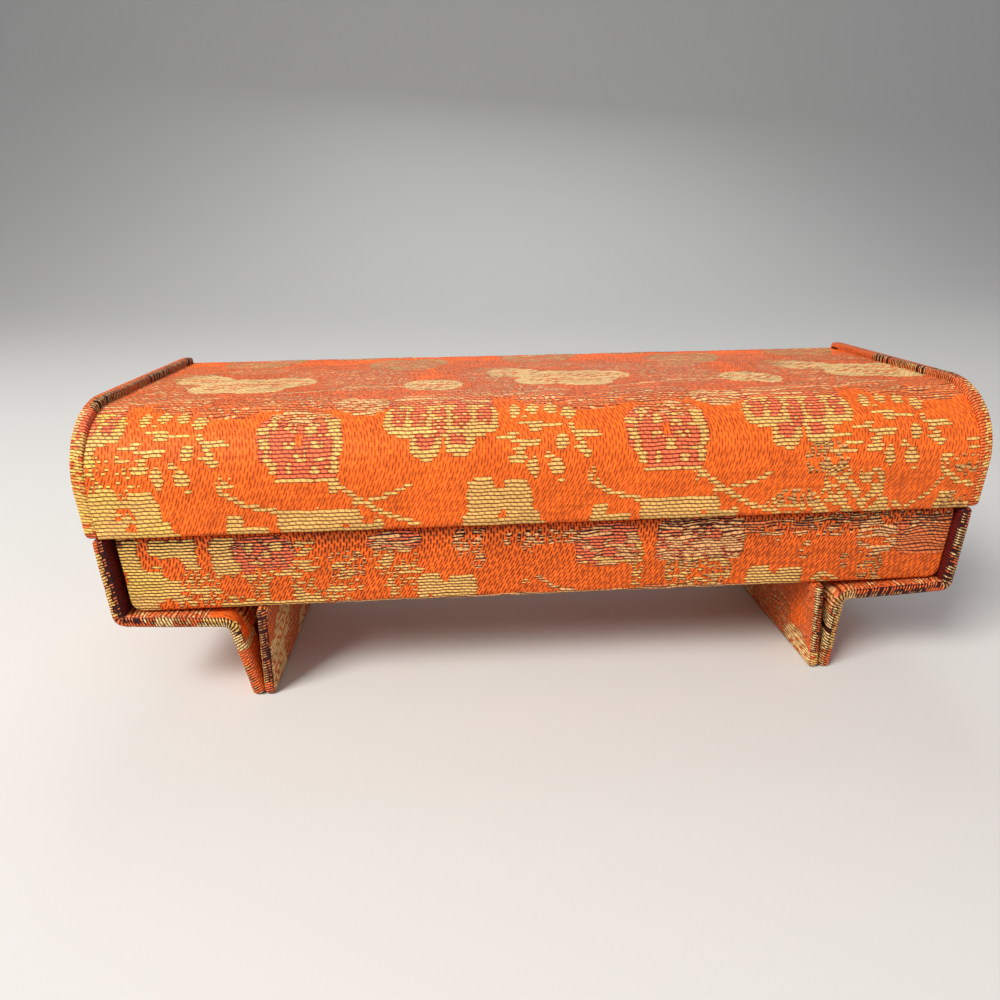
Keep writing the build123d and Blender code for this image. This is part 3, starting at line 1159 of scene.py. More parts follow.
class BentLine:
    """Straight runs in a plane, joined by arcs and measured along their length."""

    arc_steps = 10

    def __init__(self, corners: Sequence[Sequence[float]], radii: Sequence[float]) -> None:
        """Works out the line.

        Args:
            corners: Its start, its sharp corners and its end.
            radii: The radius of the arc at each corner between the two.
        """
        points = [np.array(corner, float) for corner in corners]
        heads = [math.atan2(*(b - a)[::-1]) for a, b in zip(points, points[1:])]
        places, angles, self.marks = [points[0]], [heads[0]], []
        for corner, radius, came, goes in zip(points[1:], radii, heads, heads[1:]):
            turn = (goes - came + math.pi) % (2 * math.pi) - math.pi
            back = radius * math.tan(abs(turn) / 2)
            start = corner - back * np.array([math.cos(came), math.sin(came)])
            hand = math.copysign(radius, turn)
            centre = start + hand * np.array([-math.sin(came), math.cos(came)])
            for step in range(self.arc_steps + 1):
                angle = came + turn * step / self.arc_steps
                places.append(centre - hand * np.array([-math.sin(angle), math.cos(angle)]))
                angles.append(angle)
            self.marks.append(len(places) - 1 - self.arc_steps // 2)
        places.append(points[-1])
        angles.append(angles[-1])
        self.places, self.angles = np.array(places), np.array(angles)
        steps = np.hypot(*np.diff(self.places, axis=0).T)
        self.far = np.concatenate([[0.0], np.cumsum(steps)])

    @property
    def length(self) -> float:
        """The whole length."""
        return float(self.far[-1])

    def mark(self, corner: int) -> float:
        """How far along the line the middle of a corner's arc lies."""
        return float(self.far[self.marks[corner]])

    def at(self, far: Array) -> tuple[Array, Array]:
        """Finds points on the line.

        Args:
            far: How far along it each lies.

        Returns:
            The points, and the direction to the left of the line at each.
        """
        point = np.stack([np.interp(far, self.far, self.places[:, axis]) for axis in (0, 1)], 1)
        angle = np.interp(far, self.far, self.angles)
        return point, np.stack([-np.sin(angle), np.cos(angle)], 1)


def moved_aside(corners: Sequence[Sequence[float]], distance: float) -> list[Array]:
    """Moves a bent line to its left, with mitred corners.

    Args:
        corners: The corners of the line.
        distance: How far it moves.

    Returns:
        The corners of the moved line.
    """
    points = [np.array(corner, float) for corner in corners]
    runs = [(b - a) / np.linalg.norm(b - a) for a, b in zip(points, points[1:])]
    lefts = [np.array([-run[1], run[0]]) for run in runs]
    middle = [
        point + (one + two) * distance / (1 + one @ two)
        for point, one, two in zip(points[1:], lefts, lefts[1:])
    ]
    return [points[0] + lefts[0] * distance, *middle, points[-1] + lefts[-1] * distance]


def closed_section(
    line: Sequence[Sequence[float]], radii: Sequence[float], thick: float
) -> tuple[BentLine, float]:
    """Closes a bent line, with its way back on its right at a cloth's thickness.

    Args:
        line: Its corners.
        radii: The radius at each corner between its ends.
        thick: The thickness.

    Returns:
        The closed line, and how much of it is the way out.
    """
    thin = 0.1
    back = moved_aside(line, -thick)[::-1]
    inner = [max(radius - thick, thin) for radius in radii][::-1]
    closed = BentLine([*line, *back, line[0]], (*radii, thin, thin, *inner, thin))
    return closed, closed.mark(len(radii))


def thread_lines(start: float, end: float, pitch: float, finer: int = 1) -> Array:
    """The lines between neighbouring threads, with both ends of the cut.

    Args:
        start: Where the cut starts.
        end: Where it ends.
        pitch: The thread's pitch.
        finer: Lines to each thread, for tight bends.

    Returns:
        The places of the lines.
    """
    step = pitch / finer
    inner = np.arange(math.floor(start / step) + 1, math.ceil(end / step)) * step
    return np.concatenate([[start], inner, [end]])


@dataclass
class Trim:
    """Where a cut turns over an edge, its threads cross that edge, with wide gaps between them."""

    across: Array
    along: Array
    gap: Array
    yarn: Array


@dataclass(frozen=True)
class Stretch:
    """One stretch of a trimmed edge: the yarn and the gap on its outer and on its inner half. The
    wider gaps of inner halves darken them: partly dark backing threads, partly painted shade.
    """

    until: float
    outer: tuple[Yarn, float]
    inner: tuple[Yarn, float]
    broken: float = 0.2


def trimmed(stretches: Sequence[Stretch], run: Array, share: Array) -> tuple[Array, Array]:
    """Looks up the stretches of an edge.

    Args:
        stretches: The stretches, in order.
        run: How far along the edge each place lies.
        share: How far across it, 0 at its outer side and 1 at its inner side.

    Returns:
        The gap and the yarn at each place.
    """
    tick = np.floor(run / TRIM_PITCH)
    ragged = share + 0.34 * (scatter(tick, 9.0) - 0.5)
    chance = scatter(tick, np.floor(share * 3), 10.0)
    gap, yarn = np.zeros(run.shape), np.full(run.shape, Yarn.NONE, int)
    for stretch in reversed(stretches):
        halves = ((ragged < 0.5, stretch.outer), (ragged >= 0.5, stretch.inner))
        for half, (thread, wide) in halves:
            here = half & (run < stretch.until)
            gap[here] = wide
            yarn[here] = np.where(chance < stretch.broken, Yarn.ORANGE, thread)[here]
    return gap, yarn


class Form:
    """What a cut of cloth is laid on."""

    def lay(self, u: Array, v: Array) -> Array:
        """Where flat places along and up the cut lie once the cloth is on the form."""
        raise NotImplementedError

    def trim(self, u: Array, v: Array) -> Trim:
        """How the threads run: on as they are where no edge is trimmed."""
        return Trim(u, v, np.zeros(u.shape), np.full(u.shape, Yarn.NONE))


@dataclass
class Wrap(Form):
    """A cloth that runs along the box on a bent line in the plane of Y and Z."""

    line: BentLine
    zero: float
    soft: float = 0.0
    half_width: Callable[[Array], Array] = field(default=lambda z: np.full(z.shape, HALF_CUT))

    def lay(self, u: Array, v: Array) -> Array:
        """Lays the cloth, with its own unevenness away from its ends.

        Args:
            u: Places along the cut, from minus to plus half its width.
            v: Places up the cut.

        Returns:
            Where they lie.
        """
        point, left = self.line.at(v + self.zero)
        wide = self.half_width(point[:, 1])
        hold = ease(HALF_CUT - np.abs(u), 5) * ease(v, 4)
        point = point + left * (self.soft * hold * ripple(u, v, 34.0))[:, None]
        return np.stack([u / HALF_CUT * wide, point[:, 0], point[:, 1]], 1)


@dataclass
class DrapedBoard(Form):
    """A flat board with rounded corners, its cloth drawn over its edges and glued on its back.

    The corners' radii go round from the one between the low side along and the high side up.
    """

    low: tuple[float, float]
    high: tuple[float, float]
    radii: tuple[float, float, float, float]
    thick: float
    edge: float
    turnover: float
    place: Callable[[Array, Array, Array], Array]
    soft: float = 0.0
    stretches: tuple[Stretch, ...] = ()
    weft: float = WEFT_PITCH
    over: BentLine = field(init=False)
    reach: float = field(init=False)

    def __post_init__(self) -> None:
        """Works out how the cloth goes over an edge."""
        self.reach = max(high - low for low, high in zip(self.low, self.high))
        corners = [(-self.reach, 0), (0, 0), (0, self.thick), (-self.turnover, self.thick)]
        self.over = BentLine(corners, (self.edge, self.edge))

    @property
    def overhang(self) -> float:
        """How far the flat cloth reaches past the board's outline."""
        return self.over.length - self.reach

    def lines(self, finer: int) -> tuple[Array, Array]:
        """Rules the cut, over the board and its overhang.

        Args:
            finer: Lines to each thread.

        Returns:
            The grid lines along it and up it.
        """
        spans = zip(self.low, self.high, (PICK, self.weft))
        along, up = (
            thread_lines(low - self.overhang, high + self.overhang, pitch, finer)
            for low, high, pitch in spans
        )
        return along, up

    def meet(self, a: Array, b: Array) -> tuple[Array, Array, Array]:
        """Sets places against the board's outline.

        Args:
            a: Places along the board.
            b: Places up the board.

        Returns:
            The direction out of the board, how far outside it each place lies, and how far round.
        """
        low, high = np.array(self.low), np.array(self.high)
        place, size = np.stack([a, b], 1) - (low + high) / 2, (high - low) / 2
        outward, far, run = np.zeros(place.shape), np.full(a.shape, -np.inf), np.zeros(a.shape)
        start, corners = 0.0, []
        normal, along = np.array([-1.0, 0.0]), np.array([0.0, 1.0])
        for index, radius in enumerate(self.radii):
            half, reach = abs(normal @ size), abs(along @ size)
            before = self.radii[index - 1]
            out, on = place @ normal, place @ along
            nearer = out - half > far
            far = np.where(nearer, out - half, far)
            outward[nearer] = normal
            run = np.where(nearer, start + on + reach - before, run)
            start += 2 * reach - before - radius
            corners.append((normal, along, radius, out - half + radius, on - reach + radius, start))
            start += radius * math.pi / 2
            normal, along = along, -normal
        for normal, along, radius, out, on, begin in corners:
            near = (out > 0) & (on > 0)
            size_off = np.maximum(np.hypot(out, on), 1e-9)
            far = np.where(near, size_off - radius, far)
            turned = (out[:, None] * normal + on[:, None] * along) / size_off[:, None]
            outward = np.where(near[:, None], turned, outward)
            run = np.where(near, begin + radius * np.arctan2(on, out), run)
        return outward, far, run

    def lay(self, u: Array, v: Array) -> Array:
        """Lays the cloth on the board and over its edges.

        Args:
            u: Places along the cut.
            v: Places up the cut.

        Returns:
            Where they lie.
        """
        outward, far, _ = self.meet(u, v)
        along, _ = self.over.at(far + self.reach)
        moved = (along[:, 0] - far)[:, None] * outward
        swell = 0.6 + 0.4 * ripple(u, v, 26.0, 1.0)
        depth = along[:, 1] - self.soft * ease(-far, 4) * swell
        return self.place(u + moved[:, 0], v + moved[:, 1], depth)

    def trim(self, u: Array, v: Array) -> Trim:
        """Turns the threads across the board's edge, if it is trimmed.

        Args:
            u: Places along the cut.
            v: Places up the cut.

        Returns:
            How the threads run.
        """
        if not self.stretches:
            return super().trim(u, v)
        _, far, run = self.meet(u, v)
        gap, yarn = trimmed(self.stretches, run, far / self.thick)
        over = (far > -0.3) & (far < self.thick + 1.7)
        across, along = far / WARP_PITCH, run / TRIM_PITCH + 0.3 * far
        return Trim(across, along, np.where(over, gap, 0.0), yarn)


@dataclass
class CoveredBoard(Form):
    """A board bent along a line in the plane of X and Z, with cloth all round it.

    Its inner face is painted dark crimson below and above two places up the cut, as painted shade
    in the gap beside the panel and inside the legs, but for a strip at the front of a leg that can
    be seen.
    """

    outer: list[tuple[float, float]]
    bends: tuple[float, ...]
    thick: float
    side: Side
    depth: float = 61.0
    edge: float = 0.8
    tip: float = 0.85
    soft: float = 0.0
    stretches: tuple[Stretch, ...] = ()
    hidden: tuple[float, float] = (-1.0, math.inf)
    leg_face: float = 0.0
    path: BentLine = field(init=False)
    round: BentLine = field(init=False)
    ends: BentLine = field(init=False)

    def __post_init__(self) -> None:
        """Works out the board's middle line and the loop of cloth round it."""
        half, deep = self.thick / 2, self.depth / 2
        self.path = BentLine(moved_aside(self.outer, half), self.bends)
        loop = [(0, half), (-deep, half), (-deep, -half), (deep, -half), (deep, half), (0, half)]
        self.round = BentLine(loop, (self.edge,) * 4)
        length = self.path.length
        self.ends = BentLine([(0, half), (0, 0), (length, 0), (length, half)], (self.tip, 0.4))

    def lines(self, finer: int) -> tuple[Array, Array]:
        """Rules the cut.

        Args:
            finer: Lines to each weft.

        Returns:
            The grid lines round the board, and from its foot to its top.
        """
        up = thread_lines(0, self.ends.length, WEFT_PITCH, finer)
        return thread_lines(0, self.round.length, PICK), up

    def lay(self, u: Array, v: Array) -> Array:
        """Lays the cloth round the board and closes it over both ends.

        Args:
            u: Places round the board.
            v: Places from its foot to its top.

        Returns:
            Where they lie.
        """
        half = self.thick / 2
        section, _ = self.round.at(u)
        far, drawn_in = self.ends.at(v)[0].T
        y = section[:, 0] * (1 - drawn_in / (self.depth / 2))
        aside = section[:, 1] * (1 - drawn_in / half)
        swell = self.soft * ripple(u, v, 19.0, 2.0) * np.sign(section[:, 1])
        middle, left = self.path.at(far)
        spot = middle + left * (aside + swell * (drawn_in < 1e-6))[:, None]
        return np.stack([spot[:, 0] * self.side.value, y, spot[:, 1]], 1)

    def trim(self, u: Array, v: Array) -> Trim:
        """Turns the threads across the front and back edges, and paints shade on the inner face.

        Args:
            u: Places round the board.
            v: Places from its foot to its top.

        Returns:
            How the threads run.
        """
        gap, yarn = np.zeros(u.shape), np.full(u.shape, Yarn.NONE, int)
        marks = [self.round.mark(corner) for corner in range(4)]
        for first, last, inner_first in ((0, 1, True), (2, 3, False)):
            share = (u - marks[first]) / (marks[last] - marks[first])
            here = (share > -0.08) & (share < 1.08)
            found, thread = trimmed(self.stretches, v, 1 - share if inner_first else share)
            gap, yarn = np.where(here, found, gap), np.where(here, thread, yarn)
        # Painted shade: the inner face turns dark crimson in the leg and high in the wall.
        below, above = self.hidden
        inside = (u < marks[0] - 0.2) | (u > marks[3] + 0.2)
        inside &= (v < below) | (v > above)
        gap, yarn = np.where(inside, 0.3, gap), np.where(inside, Yarn.CRIMSON, yarn)
        facing = inside & (v < below) & (u > marks[0] - self.leg_face)
        found, thread = trimmed(self.stretches, v, np.ones(u.shape))
        gap, yarn = np.where(facing, found, gap), np.where(facing, thread, yarn)
        return Trim(u / WARP_PITCH, v / TRIM_PITCH + 0.62 * u, gap, yarn)


# Pieces


def read(
    values: bpy.types.bpy_prop_collection, name: str, width: int = 1, kind: type = float
) -> Array:
    """Reads one property of every member of a mesh's list.

    Args:
        values: The list.
        name: The property's name.
        width: How many numbers each member has.
        kind: The type of number.

    Returns:
        The numbers, in rows where there are several to each.
    """
    found = np.empty(len(values) * width, kind)
    values.foreach_get(name, found)
    return found.reshape(-1, width) if width > 1 else found


def slice_along(bm: bmesh.types.BMesh, axis: int, spots: Iterable[float]) -> None:
    """Cuts a mesh into slices, so that it can bend.

    Args:
        bm: The mesh.
        axis: The axis that the cuts lie across.
        spots: Where they lie on it.
    """
    normal = Vector((0, 0, 0))
    normal[axis] = 1
    for spot in spots:
        whole = bm.verts[:] + bm.edges[:] + bm.faces[:]
        bmesh.ops.bisect_plane(bm, geom=whole, plane_co=normal * float(spot), plane_no=normal)


@dataclass
class Cut:
    """A flat cut of cloth: a grid whose lines run between its threads.

    The shares are where the grid's vertices lie on the cut, from 0 to 1, and flat is the same in
    millimetres. The corners are the vertices of each crossing in turn.
    """

    name: str
    across: Array
    up: Array
    mesh: bpy.types.Mesh = field(init=False)
    shares: Array = field(init=False)
    flat: Array = field(init=False)
    corners: Array = field(init=False)

    def __post_init__(self) -> None:
        """Makes the grid."""
        columns, rows = self.size
        self.mesh = bpy.data.meshes.new(self.name)
        bm = bmesh.new()
        bmesh.ops.create_grid(bm, x_segments=columns, y_segments=rows, size=0.5)
        bm.to_mesh(self.mesh)
        bm.free()
        self.shares = read(self.mesh.vertices, "co", 3)[:, :2] + 0.5
        column, row = np.rint(self.shares * self.size).astype(int).T
        self.flat = np.stack([self.across[column], self.up[row]], 1)
        self.corners = read(self.mesh.loops, "vertex_index", kind=np.int32)

    @property
    def size(self) -> tuple[int, int]:
        """How many crossings it has along it and up it."""
        return len(self.across) - 1, len(self.up) - 1

    def middles(self, places: Array) -> Array:
        """The middle of each crossing, from places of the vertices."""
        return places[self.corners].reshape(-1, 4, 2).mean(1)

    def tips(self, yarn: Array) -> Array:
        """Finds the ends of the floats, where the next crossing of a row has another yarn.

        Args:
            yarn: The crossings' yarns.

        Returns:
            True where a float ends.
        """
        column, row = np.floor(self.middles(self.shares) * self.size).astype(int).T
        chart = np.zeros(self.size[::-1], int)
        chart[row, column] = yarn
        ends = np.zeros(chart.shape, bool)
        changes = chart[:, 1:] != chart[:, :-1]
        ends[:, 1:] |= changes
        ends[:, :-1] |= changes
        return ends[row, column]

    def even_inside(self, reach: float) -> Array:
        """A share that grows from 0 at the cut's edges to 1 inside them."""
        low, high = (self.across[0], self.up[0]), (self.across[-1], self.up[-1])
        return ease(np.minimum(self.flat - low, high - self.flat), reach).prod(1)

    def carry(self, **values: Array) -> None:
        """Writes numbers on the crossings.

        Args:
            values: The numbers, under the names that the finish reads.
        """
        for name, numbers in values.items():
            layer = self.mesh.attributes.new(name, "FLOAT", "FACE")
            layer.data.foreach_set("value", numbers.astype(np.float32))

    def chart(self, name: str, places: Array) -> None:
        """Writes a map with a place for each corner of each crossing."""
        layer = self.mesh.uv_layers.new(name=name)
        layer.uv.foreach_set("vector", places.astype(np.float32).ravel())

    def lay(self, form: Form, u: Array, v: Array) -> None:
        """Lays the cut on a form, its vertices taken from the places u and v."""
        self.mesh.vertices.foreach_set("co", (form.lay(u, v) * MM).ravel())
        self.mesh.update()


class Maker:
    """Turns forms into finished pieces that ride on their bodies."""

    wave = 0.55
    uneven_u = 0.1
    uneven_v = 0.13
    even_edge = 2.5
    merge = 0.004

    def __init__(self) -> None:
        """Builds the finishes once for all pieces."""
        self.brocade = BrocadeFinish().build()
        self.satin = SatinFinish().build()
        self.card = CardFinish().build()
        self.wadding = WaddingFinish().build()

    def cloth(
        self,
        name: str,
        form: Form,
        lines: tuple[Array, Array],
        pattern: Brocade,
        seam: bool = True,
        raised: float = 0.07,
    ) -> bpy.types.Object:
        """Weaves a cut of brocade and lays it on its form.

        Args:
            name: The piece's name.
            form: What it is laid on.
            lines: The cut's grid lines, along it and up it.
            pattern: The pattern woven into it.
            seam: Joins edges of the cut that meet.
            raised: How far floated yarns stand above the ground.

        Returns:
            The piece.
        """
        cut = Cut(name, *lines)
        self.weave(cut, form, pattern)
        hold = cut.even_inside(self.even_edge)
        u, v = cut.flat.T
        uneven_u = hold * self.uneven_u * ripple(u, v, 9.0, 5.0)
        uneven_v = hold * self.uneven_v * ripple(u, v * 1.6, 6.5, 3.0)
        cut.lay(form, u + uneven_u, v + uneven_v)
        self.close(cut.mesh, seam)
        self.raise_floats(cut.mesh, raised)
        return self.piece(name, cut.mesh, self.brocade)

    def weave(self, cut: Cut, form: Form, pattern: Brocade) -> None:
        """Gives each crossing of a cut its yarn, and each corner its place on the threads.

        Args:
            cut: The cut.
            form: What it will be laid on.
            pattern: The pattern woven into it.
        """
        middle = cut.middles(cut.flat)
        edge, turned = form.trim(*middle.T), form.trim(*cut.flat.T)
        crosses = edge.gap > 0
        yarn, shade = pattern.weave(*np.floor(middle / (PICK, pattern.weft)).T)
        yarn = np.where(crosses & (edge.yarn != Yarn.NONE), edge.yarn, yarn)
        yarn = np.where(crosses & (yarn == Yarn.GROUND), Yarn.ORANGE, yarn)
        gap = np.where(crosses, edge.gap, pattern.gaps(middle[:, 1]))
        cut.carry(yarn=yarn, shade=shade, tip=cut.tips(yarn), gap=gap)

        wavy = np.isin(yarn, (Yarn.CREAM, Yarn.PALE, Yarn.TAN, Yarn.SALMON)) & ~crosses
        along, up = cut.flat.T
        wave = np.stack([0 * along, self.wave * ripple(along, up * 2.2, 8.0, 8.0)], 1)
        plain = cut.flat / (WARP_PITCH, pattern.weft)
        crossing = np.stack([turned.across, turned.along], 1)
        at = cut.corners
        threads = np.where(np.repeat(crosses, 4)[:, None], crossing[at], plain[at])
        threads = threads + np.where(np.repeat(wavy, 4)[:, None], wave[at], 0.0)
        cut.chart("OFBake", cut.shares[at])
        cut.chart("threads", threads)

    def close(self, mesh: bpy.types.Mesh, seam: bool = True, openings: bool = True) -> None:
        """Closes a laid cloth and turns its faces outwards.

        Args:
            mesh: The cloth.
            seam: Joins edges of the cut that meet.
            openings: Fills what the cut leaves open.
        """
        bm = bmesh.new()
        bm.from_mesh(mesh)
        if seam:
            bmesh.ops.remove_doubles(bm, verts=bm.verts[:], dist=self.merge * MM)
        if openings:
            gaps = [edge for edge in bm.edges if edge.is_boundary]
            bmesh.ops.holes_fill(bm, edges=gaps, sides=0)
        bmesh.ops.recalc_face_normals(bm, faces=bm.faces[:])
        if bm.calc_volume(signed=True) < 0:
            bmesh.ops.reverse_faces(bm, faces=bm.faces[:])
        bm.to_mesh(mesh)
        bm.free()
        mesh.update()

    def raise_floats(self, mesh: bpy.types.Mesh, raised: float) -> None:
        """Moves the crossings that show a floated yarn a little outwards.

        Args:
            mesh: The laid cloth.
            raised: How far, in millimetres.
        """
        count = len(mesh.vertices)
        corner = read(mesh.loops, "vertex_index", kind=np.int32)
        total = read(mesh.polygons, "loop_total", kind=np.int32)
        yarn = read(mesh.attributes["yarn"].data, "value", kind=np.float32)
        floated = np.repeat((yarn > Yarn.GROUND + 0.5) & (yarn < Yarn.DUSK), total)
        faces = np.maximum(np.bincount(corner, minlength=count), 1)
        share = np.bincount(corner, floated, count) / faces
        normal, place = read(mesh.vertex_normals, "vector", 3), read(mesh.vertices, "co", 3)
        place += normal * (share * raised * MM)[:, None]
        mesh.vertices.foreach_set("co", place.ravel())
        mesh.update()

    def plain_sheet(
        self, name: str, lines: tuple[Array, Array], form: Form, openings: bool = True
    ) -> bpy.types.Mesh:
        """A plain cloth's mesh, laid on a form.

        Args:
            name: The mesh's name.
            lines: The cut's grid lines, along it and up it.
            form: What it is laid on.
            openings: Fills what the cut leaves open.

        Returns:
            The mesh.
        """
        cut = Cut(name, *lines)
        cut.lay(form, *cut.flat.T)
        self.close(cut.mesh, openings=openings)
        return cut.mesh

    def satin_piece(self, name: str, bm: bmesh.types.BMesh, thick: float) -> bpy.types.Object:
        """A satin sheet with its thickness on the inner side of its mesh.

        Args:
            name: The piece's name.
            bm: The sheet, in metres, freed here.
            thick: Its thickness in millimetres.

        Returns:
            The piece.
        """
        bmesh.ops.recalc_face_normals(bm, faces=bm.faces[:])
        mesh = bpy.data.meshes.new(name)
        bm.to_mesh(mesh)
        bm.free()
        made = self.piece(name, mesh, self.satin)
        solid = made.modifiers.new("thickness", "SOLIDIFY")
        solid.thickness, solid.offset = thick * MM, 0.0
        return made

    def piece(
        self, name: str, mesh: bpy.types.Mesh, finish: bpy.types.Material
    ) -> bpy.types.Object:
        """Makes an object of a mesh.

        Args:
            name: The piece's name.
            mesh: Its mesh, which is made smooth.
            finish: Its material.

        Returns:
            The piece.
        """
        mesh.materials.append(finish)
        mesh.polygons.foreach_set("use_smooth", np.ones(len(mesh.polygons), bool))
        made = bpy.data.objects.new(name, mesh)
        bpy.context.scene.collection.objects.link(made)
        return made

    def mount(self, made: bpy.types.Object, body: str, slot: str, *nodes: str) -> None:
        """Makes a piece ride on a body in place of nodes of the frame, and reports it.

        Args:
            made: The piece.
            body: The body that carries it.
            slot: Not used.
            nodes: The nodes that it stands for.
        """
        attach(made, body)
        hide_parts(*nodes)
        log.info("%s: %d faces on %s", made.name, len(made.data.polygons), body)


def corners_of(node: str) -> tuple[Vector, Vector]:
    """The lowest and highest corner of a node of the frame, in millimetres."""
    low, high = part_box(node)
    return Vector(low) / MM, Vector(high) / MM


# The yarns of the trimmed edges, stretch by stretch. Wider gaps darken the inner halves: partly
# dark backing threads, partly painted shade.


TO_THE_END = math.inf

RIM = {
    Side.LEFT: (
        Stretch(8, (GOLD, 0.2), (GOLD, 0.2), 0.1),
        Stretch(20, (GOLD, 0.2), (GOLD, 0.2), 0.45),
        Stretch(26, (PALE, 0.24), (CORAL, 0.2), 0.0),
        Stretch(36, (SALMON, 0.3), (TAN, 0.66), 0.1),
        Stretch(50, (ORANGE, 0.3), (TAN, 0.5), 0.5),
        Stretch(78, (ORANGE, 0.3), (TAN, 0.6), 0.3),
        Stretch(TO_THE_END, (ORANGE, 0.3), (ORANGE, 0.4)),
    ),
    Side.RIGHT: (
        Stretch(20, (GOLD, 0.25), (ORANGE, 0.2), 0.4),
        Stretch(29, (PALE, 0.3), (SALMON, 0.2), 0.4),
        Stretch(38, (TAN, 0.6), (SALMON, 0.5), 0.1),
        Stretch(58, (SALMON, 0.4), (TAN, 0.6), 0.3),
        Stretch(TO_THE_END, (ORANGE, 0.3), (ORANGE, 0.4)),
    ),
}
SHELL = {
    Side.LEFT: (
        Stretch(1.6, (PALE, 0.4), (CREAM, 0.35), 0.3),
        Stretch(9, (TAN, 0.45), (ORANGE, 0.4), 0.5),
        Stretch(12.8, (ORANGE, 0.3), (ORANGE, 0.45)),
        Stretch(16.6, (CREAM, 0.45), (CREAM, 0.55), 0.1),
        Stretch(26, (CREAM, 0.5), (GOLD, 0.55), 0.1),
        Stretch(31, (ORANGE, 0.5), (TAN, 0.5), 0.4),
        Stretch(34, (CREAM, 0.5), (CREAM, 0.5), 0.1),
        Stretch(37, (ORANGE, 0.5), (CREAM, 0.6), 0.3),
        Stretch(42.5, (ORANGE, 0.45), (SALMON, 0.7)),
        Stretch(57, (GOLD, 0.4), (SALMON, 0.76), 0.2),
        Stretch(TO_THE_END, (ORANGE, 0.3), (SALMON, 0.8)),
    ),
    Side.RIGHT: (
        Stretch(1.6, (CREAM, 0.3), (GOLD, 0.35), 0.3),
        Stretch(6, (ORANGE, 0.35), (TAN, 0.55), 0.3),
        Stretch(17, (GOLD, 0.4), (CREAM, 0.66), 0.1),
        Stretch(22, (CREAM, 0.4), (TAN, 0.45), 0.1),
        Stretch(30, (TAN, 0.6), (ORANGE, 0.6), 0.2),
        Stretch(37.5, (TAN, 0.74), (ORANGE, 0.66)),
        Stretch(41.5, (ORANGE, 0.4), (SALMON, 0.6)),
        Stretch(47, (TAN, 0.55), (CREAM, 0.6)),
        Stretch(49, (ORANGE, 0.5), (PALE, 0.85)),
        Stretch(56, (TAN, 0.55), (CREAM, 0.6)),
        Stretch(TO_THE_END, (ORANGE, 0.6), (PALE, 0.85)),
    ),
}
INNER_LEG = {
    Side.LEFT: (
        Stretch(4, (ORANGE, 0.4), (CORAL, 0.5)),
        Stretch(TO_THE_END, (TAN, 0.6), (SALMON, 0.7)),
    ),
    Side.RIGHT: (
        Stretch(5, (GOLD, 0.4), (GOLD, 0.4)),
        Stretch(TO_THE_END, (ORANGE, 0.6), (CREAM, 0.5)),
    ),
}


